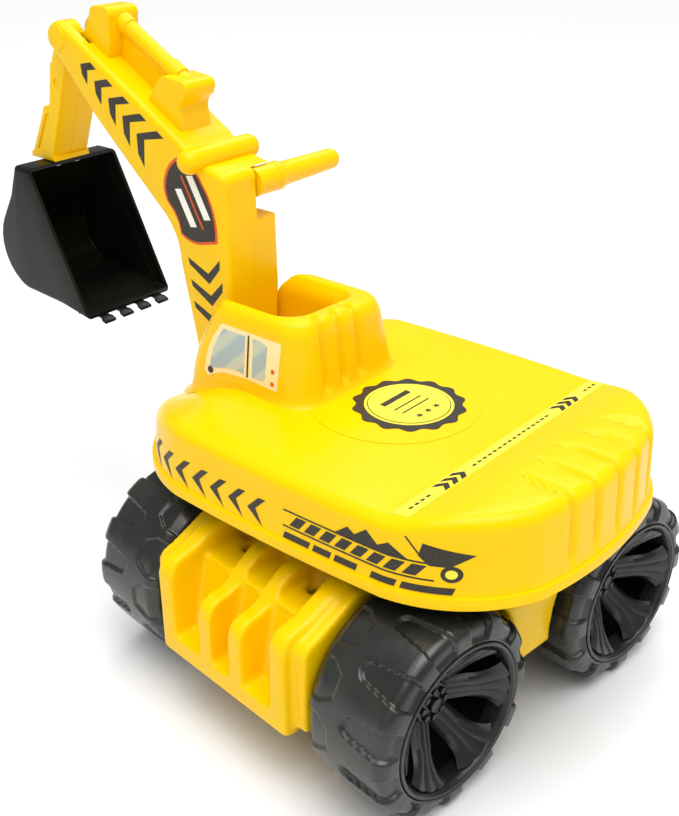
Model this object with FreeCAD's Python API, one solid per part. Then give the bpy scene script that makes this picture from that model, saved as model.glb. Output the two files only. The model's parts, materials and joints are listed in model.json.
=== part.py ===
import FreeCAD, Part
import math
import os

# A child's ride-on excavator. Millimetres, +Z up. The sizes below are measured from the slew axis
# on the ground, with +X towards the bucket and +Y to the rider's left. At the end the whole model
# is moved so that the origin is the middle of its footprint, on the ground.

Vector = FreeCAD.Vector
X_AXIS = Vector(1, 0, 0)
Y_AXIS = Vector(0, 1, 0)
Z_AXIS = Vector(0, 0, 1)

# Wheels
TYRE_RADIUS = 67.0
TYRE_WIDTH = 66.0
TYRE_WALL = 5.0
TYRE_SHOULDER = 10.0
TREAD_DEPTH = 2.4
TREAD_COUNT = 12
TRACK_HALF = 140.0
WHEELBASE_HALF = 88.8
WHEEL_SIDE_GAP = 3.0
SLEEVE_LENGTH = 26.0
SLEEVE_WALL = 5.0
RIM_RADIUS = 51.0
RIM_DEPTH = 14.0
SPOKE_COUNT = 6
SPOKE_WIDTH = 11.0
HUB_RADIUS = 15.0
HUB_DEPTH = 15.0
AXLE_RADIUS = 4.0
PUSH_NUT_RADIUS = 8.0
PUSH_NUT_THICKNESS = 3.0

# Chassis
CHASSIS_TURN = -5.52
CHASSIS_WALL = 3.0
BELLY_Z = 43.0
DECK_Z = 112.0
PEDESTAL_Z = 135.0
PEDESTAL_RADIUS = 80.0
END_HALF_WIDTH = 61.0
END_STEP = 7.0
BAY_FLOOR_Z = 60.0
BAY_DEPTH = 17.0
RIB_WIDTH = 12.0
OUTER_RIB_WIDTH = 14.0
SIDE_STEP_REACH = 125.0
ARCH_GAP = 4.0
CHASSIS_SCREW_X = 31.0
CHASSIS_SCREW_Y = 102.0
CHASSIS_SCREW_RADIUS = 2.0
SCREW_RECESS_RADIUS = 6.0

# Turntable
TRACK_RING_RADIUS = 78.0
RING_WIDTH = 16.0
RING_HEIGHT = 5.0
RING_GAP = 0.4
KING_RADIUS = 6.0
KING_HEAD_RADIUS = 11.0
KING_HEAD_HEIGHT = 6.0

# Seat and cab
SEAT_HALF_LENGTH = 165.0
SEAT_HALF_WIDTH = 125.0
SEAT_WALL = 3.0
SEAT_DRAFT = 4.0
FLANGE_HEIGHT = 8.0
SEAT_TOP_Z = 194.0
SEAT_CREST_Z = 203.0
SEAT_EDGE_RADIUS = 13.0
CREST_START_X = -80.0
CREST_TOP_X = -125.0
CAB_REAR_X = 32.0
CAB_FRONT_X = 146.0
CAB_HALF_WIDTH = 57.0
CAB_TOP_Z = 250.0
CAB_TOP_REAR_X = 42.0
CAB_TOP_FRONT_X = 112.0
CAB_TOP_HALF_WIDTH = 44.0
CAB_EDGE_RADIUS = 8.0
WELL_REAR_X = 66.0
WELL_FLOOR_Z = 160.0
WELL_GAP = 3.0
SEAT_SCREW_RADIUS = 2.0

# Boom
BOOM_HALF_WIDTH = 25.0
BOOM_WALL = 2.5
BOOM_FOOT = (146.0, 182.0)
BOOM_FOOT_RADIUS = 16.0
BOOM_PIN_RADIUS = 4.0
DIPPER_PIVOT = (291.0, 399.0)
NOSE_RADIUS = 11.0
DIPPER_PIN_RADIUS = 3.0
GRIP_BAR_AT = (154.0, 334.0)
GRIP_BAR_RADIUS = 8.5
GRIP_BAR_LENGTH = 80.0
BOOM_SCREW_RADIUS = 1.5

# Ram on top of the boom
RAM_RADIUS = 6.0
RAM_BLOCK_HALF_WIDTH = 14.0

# Lever and push rod
HORN = 7.0
CRANK = 12.6
ROD_LENGTH = 150.0
ROD_WIDTH = 6.0
ROD_HEIGHT = 7.0
LEVER_PIN_RADIUS = 3.0
CRANK_PIN_RADIUS = 2.5
HORN_PIN_RADIUS = 2.0
GRIP_AT = (132.0, 316.0)
GRIP_REACH = 94.0
GRIP_ROOT_RADIUS = 10.0
GRIP_TIP_RADIUS = 7.5
LEVER_DROP = 14.0

# Dipper and bucket
DIPPER_HALF_WIDTH = 16.6
DIPPER_WALL = 2.4
BUCKET_HALF_WIDTH = 42.0
BUCKET_WALL = 2.5
TOOTH_COUNT = 4
TOOTH_WIDTH = 8.0
TOOTH_LENGTH = 8.0

# Fits
RUNNING_FIT = 0.05
CLEARANCE = 0.3
SLOT_PLAY = 0.3

# Derived places
TYRE_INNER_X = TRACK_HALF - TYRE_WIDTH
BODY_HALF_WIDTH = TYRE_INNER_X - WHEEL_SIDE_GAP
END_REACH = WHEELBASE_HALF + TYRE_RADIUS + 1.0
AXLE_Z = TYRE_RADIUS
SLEEVE_END_X = TYRE_INNER_X + SLEEVE_LENGTH
RING_BASE_Z = PEDESTAL_Z + RING_HEIGHT + RING_GAP
FLANGE_Z = RING_BASE_Z + RING_HEIGHT + 0.6
ARM_SLOPE = math.radians(28.93)
ALONG_ARM = (math.cos(ARM_SLOPE), math.sin(ARM_SLOPE))
BELOW_ARM = (math.sin(ARM_SLOPE), -math.cos(ARM_SLOPE))
FORK_HALF_WIDTH = DIPPER_HALF_WIDTH + 0.4
FORK_RADIUS = 27.0


def offset_point(point, along, below):
    """A point moved along the upper arm and square to it, in the XZ plane."""
    x = point[0] + along * ALONG_ARM[0] + below * BELOW_ARM[0]
    z = point[1] + along * ALONG_ARM[1] + below * BELOW_ARM[1]
    return (x, z)


HORN_PIN_AT = offset_point(DIPPER_PIVOT, 0.0, HORN)
CRANK_PIN_AT = offset_point(HORN_PIN_AT, -ROD_LENGTH, 0.0)
LEVER_PIVOT = offset_point(CRANK_PIN_AT, 0.0, CRANK)


# Building blocks

def box(x0, x1, y0, y1, z0, z1):
    return Part.makeBox(x1 - x0, y1 - y0, z1 - z0, Vector(x0, y0, z0))


def cylinder_x(radius, x0, x1, y, z):
    return Part.makeCylinder(radius, x1 - x0, Vector(x0, y, z), X_AXIS)


def cylinder_y(radius, y0, y1, place):
    return Part.makeCylinder(radius, y1 - y0, Vector(place[0], y0, place[1]), Y_AXIS)


def cylinder_z(radius, z0, z1, x, y):
    return Part.makeCylinder(radius, z1 - z0, Vector(x, y, z0), Z_AXIS)


def ring_z(outer, inner, z0, z1):
    return cylinder_z(outer, z0, z1, 0, 0).cut(cylinder_z(inner, z0, z1, 0, 0))


def join(shapes):
    return shapes[0].fuse(shapes[1:]).removeSplitter()


def side_wire(start, steps, y=0.0):
    """A closed outline in the XZ plane. A step is an end point, or an arc as (point on it, end)."""
    edges = []
    here = Vector(start[0], y, start[1])
    for step in steps:
        if isinstance(step[0], tuple):
            middle = Vector(step[0][0], y, step[0][1])
            there = Vector(step[1][0], y, step[1][1])
            edges.append(Part.Arc(here, middle, there).toShape())
        else:
            there = Vector(step[0], y, step[1])
            edges.append(Part.makeLine(here, there))
        here = there
    return Part.Wire(edges)


def side_prism(wire, y0, y1):
    """The outline's area, pushed from y0 to y1."""
    face = Part.Face(wire)
    face.translate(Vector(0, y0, 0))
    return face.extrude(Vector(0, y1 - y0, 0))


def inset_prism(wire, inset, y0, y1):
    """As side_prism, with the outline drawn in by a wall's thickness."""
    face = Part.Face(wire).makeOffset2D(-inset)
    face.translate(Vector(0, y0, 0))
    return face.extrude(Vector(0, y1 - y0, 0))


def polygon_prism(points, y0, y1):
    return side_prism(side_wire(points[0], points[1:] + points[:1]), y0, y1)


def top_edges(shape, z):
    found = []
    for edge in shape.Edges:
        bounds = edge.BoundBox
        if abs(bounds.ZMin - z) < 0.01 and abs(bounds.ZMax - z) < 0.01:
            found.append(edge)
    return found


def mirrored_y(shape):
    return shape.mirror(Vector(0, 0, 0), Y_AXIS)


def hexagon_z(radius, z0, z1):
    corners = []
    for i in range(7):
        turn = math.radians(60 * i)
        corners.append(Vector(radius * math.cos(turn), radius * math.sin(turn), z0))
    return Part.Face(Part.makePolygon(corners)).extrude(Vector(0, 0, z1 - z0))


# Chassis

def end_rib(x0, x1, top_z, nose_y):
    """One upright rib on the +Y end, with a rounded top front corner."""
    face_points = [
        Vector(x0, nose_y - BAY_DEPTH - 25, BAY_FLOOR_Z - 10),
        Vector(x0, nose_y, BAY_FLOOR_Z - 10),
        Vector(x0, nose_y, top_z - 12),
    ]
    edges = [Part.makeLine(face_points[0], face_points[1]), Part.makeLine(face_points[1], face_points[2])]
    arc_middle = Vector(x0, nose_y - 3.5, top_z - 3.5)
    arc_end = Vector(x0, nose_y - 12, top_z)
    back = Vector(x0, nose_y - BAY_DEPTH - 25, top_z + 4)
    edges.append(Part.Arc(face_points[2], arc_middle, arc_end).toShape())
    edges.append(Part.makeLine(arc_end, back))
    edges.append(Part.makeLine(back, face_points[0]))
    return Part.Face(Part.Wire(edges)).extrude(Vector(x1 - x0, 0, 0))


def chassis_end():
    """The ribbed +Y end: a skirt below, three bays above it and four ribs."""
    skirt_back = END_REACH - 40
    back_top = DECK_Z
    corners = [
        Vector(-END_HALF_WIDTH, skirt_back, BELLY_Z),
        Vector(-END_HALF_WIDTH, END_REACH, BELLY_Z),
        Vector(-END_HALF_WIDTH, END_REACH, BAY_FLOOR_Z),
        Vector(-END_HALF_WIDTH, END_REACH - BAY_DEPTH, BAY_FLOOR_Z),
        Vector(-END_HALF_WIDTH, END_REACH - BAY_DEPTH - 12, back_top - 7),
        Vector(-END_HALF_WIDTH, skirt_back, back_top),
    ]
    corners.append(corners[0])
    body = Part.Face(Part.makePolygon(corners)).extrude(Vector(2 * END_HALF_WIDTH, 0, 0))
    inner_gap = (END_HALF_WIDTH - OUTER_RIB_WIDTH) * 2
    inner_rib_centre = inner_gap / 6.0
    pieces = [body]
    for side in (-1, 1):
        outer_a = side * END_HALF_WIDTH
        outer_b = side * (END_HALF_WIDTH - OUTER_RIB_WIDTH)
        pieces.append(end_rib(min(outer_a, outer_b), max(outer_a, outer_b), DECK_Z + 5, END_REACH))
        inner_a = side * inner_rib_centre - RIB_WIDTH / 2
        pieces.append(end_rib(inner_a, inner_a + RIB_WIDTH, DECK_Z - 6, END_REACH))
    return join(pieces)


def wheel_arches(gap):
    """Round cuts that keep the wheels' space clear."""
    cuts = []
    for y in (-WHEELBASE_HALF, WHEELBASE_HALF):
        for side in (-1, 1):
            x0 = min(side * BODY_HALF_WIDTH, side * (TRACK_HALF + 20))
            length = TRACK_HALF + 20 - BODY_HALF_WIDTH
            cuts.append(cylinder_x(TYRE_RADIUS + gap, x0, x0 + length, y, AXLE_Z))
    return cuts


def chassis_shell():
    end = chassis_end()
    waist = box(-BODY_HALF_WIDTH, BODY_HALF_WIDTH, -END_REACH + END_STEP, END_REACH - END_STEP,
                BELLY_Z, DECK_Z - 22)
    waist_top = box(-BODY_HALF_WIDTH, BODY_HALF_WIDTH, -CHASSIS_SCREW_Y - 12, CHASSIS_SCREW_Y + 12,
                    DECK_Z - 22, DECK_Z)
    bays = box(-END_HALF_WIDTH, END_HALF_WIDTH, END_REACH - 40, END_REACH, BAY_FLOOR_Z, DECK_Z + 20)
    waist = waist.cut([bays, bays.mirror(Vector(0, 0, 0), Y_AXIS)])
    steps = box(-SIDE_STEP_REACH, SIDE_STEP_REACH, -46, 46, BELLY_Z + 10, DECK_Z)
    pedestal = cylinder_z(PEDESTAL_RADIUS, DECK_Z - 2, PEDESTAL_Z, 0, 0)
    outside = join([waist, waist_top, steps, pedestal, end, mirrored_y(end)])
    outside = outside.cut(wheel_arches(ARCH_GAP))
    cavity = chassis_cavity()
    hollow = box(-SIDE_STEP_REACH + CHASSIS_WALL, SIDE_STEP_REACH - CHASSIS_WALL, -12, 12,
                 BELLY_Z, DECK_Z - CHASSIS_WALL)
    dome = cylinder_z(PEDESTAL_RADIUS - 14, DECK_Z - 6, PEDESTAL_Z - CHASSIS_WALL, 0, 0)
    shell = outside.cut([cavity, hollow, dome])
    additions = [shell, cylinder_z(KING_RADIUS + 8, BELLY_Z + 20, PEDESTAL_Z, 0, 0)]
    for y in (-WHEELBASE_HALF, WHEELBASE_HALF):
        for side in (-1, 1):
            x0 = side * (BODY_HALF_WIDTH + 2) if side < 0 else BODY_HALF_WIDTH - 12
            additions.append(cylinder_x(AXLE_RADIUS + 6, x0, x0 + 14, y, AXLE_Z))
    for x, y in chassis_screw_places():
        additions.append(cylinder_z(SCREW_RECESS_RADIUS + 3, DECK_Z - 12, DECK_Z, x, y))
    shell = join(additions)
    holes = [cylinder_z(KING_RADIUS + CLEARANCE, BELLY_Z, PEDESTAL_Z + 1, 0, 0)]
    for y in (-WHEELBASE_HALF, WHEELBASE_HALF):
        holes.append(cylinder_x(AXLE_RADIUS, -TRACK_HALF, TRACK_HALF, y, AXLE_Z))
    for x, y in chassis_screw_places():
        holes.append(cylinder_z(SCREW_RECESS_RADIUS, DECK_Z - 6, DECK_Z + 10, x, y))
        holes.append(cylinder_z(CHASSIS_SCREW_RADIUS + CLEARANCE, DECK_Z - 13, DECK_Z - 5, x, y))
    return shell.cut(holes)


def chassis_cavity():
    return box(-BODY_HALF_WIDTH + CHASSIS_WALL, BODY_HALF_WIDTH - CHASSIS_WALL,
               -END_REACH + 34, END_REACH - 34, BELLY_Z, DECK_Z - CHASSIS_WALL - 1)


def chassis_screw_places():
    places = []
    for x in (-CHASSIS_SCREW_X, CHASSIS_SCREW_X):
        for y in (-CHASSIS_SCREW_Y, CHASSIS_SCREW_Y):
            places.append((x, y))
    return places


def chassis_pan():
    reach = END_REACH - 34 - CLEARANCE
    width = BODY_HALF_WIDTH - CHASSIS_WALL - CLEARANCE
    pieces = [box(-width, width, -reach, reach, BELLY_Z, BELLY_Z + CHASSIS_WALL)]
    pieces.append(cylinder_z(KING_RADIUS + 10, BELLY_Z, BELLY_Z + 19.5, 0, 0))
    for x, y in chassis_screw_places():
        pieces.append(cylinder_z(SCREW_RECESS_RADIUS + 1, BELLY_Z, DECK_Z - 12.2, x, y))
    pan = join(pieces)
    cuts = [cylinder_z(KING_RADIUS + CLEARANCE, BELLY_Z - 1, BELLY_Z + 30, 0, 0)]
    cuts.append(cylinder_z(KING_HEAD_RADIUS + 2, BELLY_Z - 1, BELLY_Z + KING_HEAD_HEIGHT + 2, 0, 0))
    for x, y in chassis_screw_places():
        cuts.append(cylinder_z(CHASSIS_SCREW_RADIUS, DECK_Z - 34, DECK_Z - 12, x, y))
    for y in (-WHEELBASE_HALF, WHEELBASE_HALF):
        cuts.append(cylinder_x(AXLE_RADIUS + 1, -TRACK_HALF, TRACK_HALF, y, AXLE_Z))
    return pan.cut(cuts)


def screw_z(radius, x, y, head_z, length, direction):
    """A pan-head screw. The head's seat is at head_z and the shank runs in the given direction."""
    head_height = radius * 1.4
    if direction < 0:
        shank = cylinder_z(radius, head_z - length, head_z, x, y)
        head = cylinder_z(radius * 2.1, head_z, head_z + head_height, x, y)
    else:
        shank = cylinder_z(radius, head_z, head_z + length, x, y)
        head = cylinder_z(radius * 2.1, head_z - head_height, head_z, x, y)
    return join([shank, head])


def chassis_screws():
    screws = []
    for x, y in chassis_screw_places():
        screws.append(screw_z(CHASSIS_SCREW_RADIUS, x, y, DECK_Z - 6, 26, -1))
    return Part.makeCompound(screws)


def axle(y):
    reach = SLEEVE_END_X + PUSH_NUT_THICKNESS + 4
    return cylinder_x(AXLE_RADIUS, -reach, reach, y, AXLE_Z)


def axle_push_nuts():
    nuts = []
    for y in (-WHEELBASE_HALF, WHEELBASE_HALF):
        for side in (-1, 1):
            near = side * (SLEEVE_END_X + 0.5)
            far = side * (SLEEVE_END_X + 0.5 + PUSH_NUT_THICKNESS)
            nut = cylinder_x(PUSH_NUT_RADIUS, min(near, far), max(near, far), y, AXLE_Z)
            nuts.append(nut.cut(cylinder_x(AXLE_RADIUS, min(near, far), max(near, far), y, AXLE_Z)))
    return Part.makeCompound(nuts)


def king_bolt():
    head_z = BELLY_Z + KING_HEAD_HEIGHT + 2
    top_z = FLANGE_Z + SEAT_WALL + 20
    head = hexagon_z(KING_HEAD_RADIUS, head_z - KING_HEAD_HEIGHT, head_z)
    return join([head, cylinder_z(KING_RADIUS, head_z, top_z, 0, 0)])


def king_washer():
    z0 = FLANGE_Z + SEAT_WALL + 6 + RING_GAP
    return ring_z(KING_RADIUS * 2.1, KING_RADIUS, z0, z0 + 1.6)


def king_nut():
    z0 = FLANGE_Z + SEAT_WALL + 6 + RING_GAP + 1.6
    return hexagon_z(KING_RADIUS * 1.8, z0, z0 + 8).cut(cylinder_z(KING_RADIUS, z0, z0 + 8, 0, 0))


# Wheels: built on the +X side with the axle on the X axis, then placed

def revolved(points_and_arcs):
    """A ring made by turning an outline in the XZ plane (z is the radius) about the X axis."""
    wire = side_wire(points_and_arcs[0], points_and_arcs[1:] + [points_and_arcs[0]])
    return Part.Face(wire).revolve(Vector(0, 0, 0), X_AXIS, 360)


def tread_profile(depth):
    """The tyre's outer outline from the inner face to the outer face, drawn in by depth."""
    inner_x = TYRE_INNER_X + depth
    outer_x = TRACK_HALF - depth
    top = TYRE_RADIUS - depth
    low = TYRE_RADIUS - TYRE_SHOULDER
    bend = TYRE_SHOULDER * 0.29
    start = (inner_x, low)
    steps = [((inner_x + bend, top - bend), (TYRE_INNER_X + TYRE_SHOULDER, top)),
             (TRACK_HALF - TYRE_SHOULDER, top),
             ((outer_x - bend, top - bend), (outer_x, low))]
    return start, steps


def tread_cutters():
    """The pockets between the lugs: wide ones open to the outer shoulder, and inner pads."""
    start, steps = tread_profile(0.0)
    deep_start, deep_steps = tread_profile(TREAD_DEPTH)
    hub = (TRACK_HALF, 10.0)
    outer = revolved([(TYRE_INNER_X, 10.0), start] + steps + [hub])
    deep = revolved([(TYRE_INNER_X + TREAD_DEPTH, 10.0), deep_start] + deep_steps
                    + [(TRACK_HALF - TREAD_DEPTH, 10.0)])
    layer = outer.cut(deep)
    middle = (TYRE_INNER_X + TRACK_HALF) / 2
    pitch = 360.0 / TREAD_COUNT
    tips = []
    for i in range(TREAD_COUNT):
        pocket = [Vector(middle - 2, -3.5, RIM_RADIUS + 4), Vector(middle + 3, -6.5, RIM_RADIUS + 4),
                  Vector(TRACK_HALF + 2, -8.5, RIM_RADIUS + 4), Vector(TRACK_HALF + 2, 8.5, RIM_RADIUS + 4),
                  Vector(middle + 3, 6.5, RIM_RADIUS + 4), Vector(middle - 2, 3.5, RIM_RADIUS + 4)]
        pad = [Vector(TYRE_INNER_X - 2, -8.0, RIM_RADIUS + 4), Vector(TYRE_INNER_X - 2, 8.0, RIM_RADIUS + 4),
               Vector(middle - 12, 8.0, RIM_RADIUS + 4), Vector(middle - 9, 4.0, RIM_RADIUS + 4),
               Vector(middle - 12, -8.0, RIM_RADIUS + 4)]
        for outline, turn in ((pocket, i * pitch), (pad, (i + 0.5) * pitch)):
            tool = Part.Face(Part.makePolygon(outline + outline[:1])).extrude(Vector(0, 0, 20))
            tool.rotate(Vector(0, 0, 0), X_AXIS, turn)
            tips.append(tool)
    return layer.common(tips)


def tyre():
    start, steps = tread_profile(0.0)
    inner_radius = TYRE_RADIUS - TYRE_WALL
    shoulder_x = TRACK_HALF - 4.5
    bore = AXLE_RADIUS + RUNNING_FIT
    outline = [(TYRE_INNER_X, bore), start] + steps + [
        (TRACK_HALF, RIM_RADIUS + CLEARANCE), (shoulder_x, RIM_RADIUS + CLEARANCE),
        (shoulder_x, inner_radius - 5), (shoulder_x - 5, inner_radius),
        (TYRE_INNER_X + 9, inner_radius), (TYRE_INNER_X + 4, inner_radius - 5),
        (TYRE_INNER_X + 4, bore + SLEEVE_WALL), (SLEEVE_END_X, bore + SLEEVE_WALL), (SLEEVE_END_X, bore)]
    return revolved(outline).cut(tread_cutters())


def wheel_insert():
    lip = revolved([(TRACK_HALF - RIM_DEPTH, RIM_RADIUS), (TRACK_HALF + 0.5, RIM_RADIUS),
                    (TRACK_HALF - 1, RIM_RADIUS - 3), (TRACK_HALF - RIM_DEPTH, RIM_RADIUS - 5)])
    hub_face = SLEEVE_END_X + HUB_DEPTH
    cup_radius = PUSH_NUT_RADIUS + 2
    hub = revolved([(SLEEVE_END_X, cup_radius), (SLEEVE_END_X, HUB_RADIUS), (hub_face, HUB_RADIUS),
                    (hub_face, cup_radius)])
    collar = revolved([(SLEEVE_END_X - 8, AXLE_RADIUS + RUNNING_FIT + SLEEVE_WALL), (SLEEVE_END_X - 8, HUB_RADIUS),
                       (SLEEVE_END_X, HUB_RADIUS), (SLEEVE_END_X, AXLE_RADIUS + RUNNING_FIT + SLEEVE_WALL)])
    pieces = [lip, hub, collar]
    for i in range(SPOKE_COUNT):
        spoke_side = [(hub_face - 10, HUB_RADIUS - 2), (hub_face - 2, HUB_RADIUS - 2),
                      (TRACK_HALF - 3, RIM_RADIUS - 2), (TRACK_HALF - RIM_DEPTH + 1, RIM_RADIUS - 2)]
        spoke = polygon_prism(spoke_side, -SPOKE_WIDTH / 2, SPOKE_WIDTH / 2)
        spoke.rotate(Vector(0, 0, 0), X_AXIS, (i + 0.5) * 360.0 / SPOKE_COUNT)
        pieces.append(spoke)
    insert = join(pieces)
    return insert.cut(cylinder_x(cup_radius, SLEEVE_END_X, hub_face + 1, 0, 0))


def hub_cap():
    hub_face = SLEEVE_END_X + HUB_DEPTH
    plug = PUSH_NUT_RADIUS + 2
    cap = revolved([(hub_face - 4, 0.0), (hub_face - 4, plug), (hub_face, plug), (hub_face, HUB_RADIUS - 1),
                    ((hub_face + 4, HUB_RADIUS * 0.6), (hub_face + 5, 0.0))])
    knobs = [cap]
    for i in range(SPOKE_COUNT):
        turn = math.radians(360.0 / SPOKE_COUNT * i)
        knob_y = HUB_RADIUS * 0.62 * math.cos(turn)
        knob_z = HUB_RADIUS * 0.62 * math.sin(turn)
        knobs.append(cylinder_x(2.2, hub_face, hub_face + 6, knob_y, knob_z))
    return join(knobs)


def placed_wheel_part(shape, side, y):
    copy = shape.copy()
    if side < 0:
        copy.rotate(Vector(0, 0, 0), Z_AXIS, 180)
    copy.translate(Vector(0, y, AXLE_Z))
    return copy


# Seat and cab

def seat_outline(inset, z):
    """The seat's plan outline: gently bowed sides and ends joined by rounder corners."""
    side_join = (85.0 / 165.0 * SEAT_HALF_LENGTH, SEAT_HALF_WIDTH - 2.5)
    corner = (SEAT_HALF_LENGTH - 34.0, SEAT_HALF_WIDTH - 24.0)
    end_join = (SEAT_HALF_LENGTH - 8.0, SEAT_HALF_WIDTH * 65.0 / 125.0)
    a = (side_join[0] - 0.06 * inset, side_join[1] - inset)
    c = (corner[0] - 0.71 * inset, corner[1] - 0.71 * inset)
    e = (end_join[0] - 0.95 * inset, end_join[1] - 0.31 * inset)
    end = (SEAT_HALF_LENGTH - inset, 0.0)
    side = (0.0, SEAT_HALF_WIDTH - inset)
    stations = [a, side, (-a[0], a[1]), (-c[0], c[1]), (-e[0], e[1]), (-end[0], 0.0), (-e[0], -e[1]),
                (-c[0], -c[1]), (-a[0], -a[1]), (0.0, -side[1]), (a[0], -a[1]), (c[0], -c[1]),
                (e[0], -e[1]), end, e, c, a]
    points = [Vector(x, y, z) for x, y in stations]
    edges = []
    for i in range(0, len(points) - 2, 2):
        edges.append(Part.Arc(points[i], points[i + 1], points[i + 2]).toShape())
    return Part.Wire(edges)


def seat_prism(inset, z0, z1):
    return Part.Face(seat_outline(inset, z0)).extrude(Vector(0, 0, z1 - z0))


def drafted_seat(z0, z1, edge_radius):
    """The seat's drafted wall with a rounded top edge."""
    solid = Part.makeLoft([seat_outline(1.2, z0), seat_outline(1.2 + SEAT_DRAFT, z1)], True, True)
    return solid.makeFillet(edge_radius, top_edges(solid, z1))


def rounded_rectangle(x0, x1, half_width, rear_radius, front_radius, z):
    r = rear_radius
    f = front_radius
    k = 1 - math.sqrt(0.5)
    w = half_width
    p = [Vector(x0 + r, w, z), Vector(x0 + r * k, w - r * k, z), Vector(x0, w - r, z),
         Vector(x0, r - w, z), Vector(x0 + r * k, r * k - w, z), Vector(x0 + r, -w, z),
         Vector(x1 - f, -w, z), Vector(x1 - f * k, f * k - w, z), Vector(x1, f - w, z),
         Vector(x1, w - f, z), Vector(x1 - f * k, w - f * k, z), Vector(x1 - f, w, z)]
    return Part.Wire([Part.Arc(p[0], p[1], p[2]).toShape(), Part.makeLine(p[2], p[3]),
                      Part.Arc(p[3], p[4], p[5]).toShape(), Part.makeLine(p[5], p[6]),
                      Part.Arc(p[6], p[7], p[8]).toShape(), Part.makeLine(p[8], p[9]),
                      Part.Arc(p[9], p[10], p[11]).toShape(), Part.makeLine(p[11], p[0])])


def cab_block(inset, top_z):
    low_z = SEAT_TOP_Z - 8
    low = rounded_rectangle(CAB_REAR_X - 1.2 + inset, CAB_FRONT_X - inset, CAB_HALF_WIDTH + 1 - inset,
                            26 - inset, 20 - inset, low_z)
    high = rounded_rectangle(CAB_TOP_REAR_X + inset, CAB_TOP_FRONT_X - inset, CAB_TOP_HALF_WIDTH - inset,
                             24 - inset, 16 - inset, top_z)
    return Part.makeLoft([low, high], True, True)


def well_half_width():
    return BOOM_HALF_WIDTH + WELL_GAP


def seat_screw_places():
    places = []
    for side in (-1, 1):
        places.append((SEAT_HALF_LENGTH - 53, side * (SEAT_HALF_WIDTH - 40)))
        places.append((0.0, side * (SEAT_HALF_WIDTH - 17)))
        places.append((-SEAT_HALF_LENGTH + 53, side * (SEAT_HALF_WIDTH - 50)))
    return places


def seat_shell():
    flange = seat_prism(0.0, FLANGE_Z, FLANGE_Z + FLANGE_HEIGHT)
    low = drafted_seat(FLANGE_Z + FLANGE_HEIGHT, SEAT_TOP_Z, SEAT_EDGE_RADIUS)
    high = drafted_seat(FLANGE_Z + FLANGE_HEIGHT, SEAT_CREST_Z, SEAT_EDGE_RADIUS)
    reach = SEAT_HALF_LENGTH + 10
    ramp = [(-reach, FLANGE_Z), (CREST_START_X, FLANGE_Z), (CREST_START_X, SEAT_TOP_Z),
            (CREST_TOP_X, SEAT_CREST_Z), (CREST_TOP_X, SEAT_CREST_Z + 10), (-reach, SEAT_CREST_Z + 10)]
    crest = high.common(polygon_prism(ramp, -SEAT_HALF_WIDTH, SEAT_HALF_WIDTH))
    cab = cab_block(0.0, CAB_TOP_Z)
    cab = cab.makeFillet(CAB_EDGE_RADIUS, top_edges(cab, CAB_TOP_Z))
    outside = join([flange, low, crest, cab])
    hollow = seat_prism(SEAT_WALL, FLANGE_Z, FLANGE_Z + FLANGE_HEIGHT)
    room = seat_prism(SEAT_WALL + SEAT_DRAFT + 1.2, FLANGE_Z, SEAT_TOP_Z - SEAT_WALL - 1)
    cab_room = cab_block(SEAT_WALL, CAB_TOP_Z - CAB_EDGE_RADIUS)
    half = well_half_width()
    wall = SEAT_WALL
    front = SEAT_HALF_LENGTH + 20
    well = box(WELL_REAR_X, front, -half, half, WELL_FLOOR_Z, CAB_TOP_Z + 20)
    tub = box(WELL_REAR_X - wall, front, -half - wall, half + wall, WELL_FLOOR_Z - wall, CAB_TOP_Z + 20)
    tub = tub.cut(well).common(outside)
    skin = outside.cut(well).cut([hollow, room, cab_room])
    posts = []
    for x, y in seat_screw_places():
        posts.append(cylinder_z(5, FLANGE_Z + SEAT_WALL, SEAT_TOP_Z - SEAT_WALL, x, y))
    shell = join([skin, tub] + posts)
    holes = [cylinder_y(BOOM_PIN_RADIUS, -half - wall - 1, half + wall + 1, BOOM_FOOT)]
    for x, y in seat_screw_places():
        holes.append(cylinder_z(SEAT_SCREW_RADIUS + RUNNING_FIT, FLANGE_Z, FLANGE_Z + 22, x, y))
    return shell.cut(holes)


def seat_base():
    plate = seat_prism(SEAT_WALL + CLEARANCE, FLANGE_Z, FLANGE_Z + SEAT_WALL)
    hub = cylinder_z(KING_RADIUS + 10, FLANGE_Z, FLANGE_Z + SEAT_WALL + 6, 0, 0)
    base = join([plate, hub])
    holes = [cylinder_z(KING_RADIUS + RUNNING_FIT, FLANGE_Z - 1, FLANGE_Z + SEAT_WALL + 7, 0, 0)]
    for x, y in seat_screw_places():
        holes.append(cylinder_z(SEAT_SCREW_RADIUS + CLEARANCE, FLANGE_Z - 1, FLANGE_Z + SEAT_WALL + 1, x, y))
    return base.cut(holes)


def seat_screws():
    screws = []
    for x, y in seat_screw_places():
        screws.append(screw_z(SEAT_SCREW_RADIUS, x, y, FLANGE_Z, 18, 1))
    return Part.makeCompound(screws)


def boom_pin():
    half = well_half_width() + SEAT_WALL
    return cylinder_y(BOOM_PIN_RADIUS, -half, half, BOOM_FOOT)


# Boom

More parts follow.
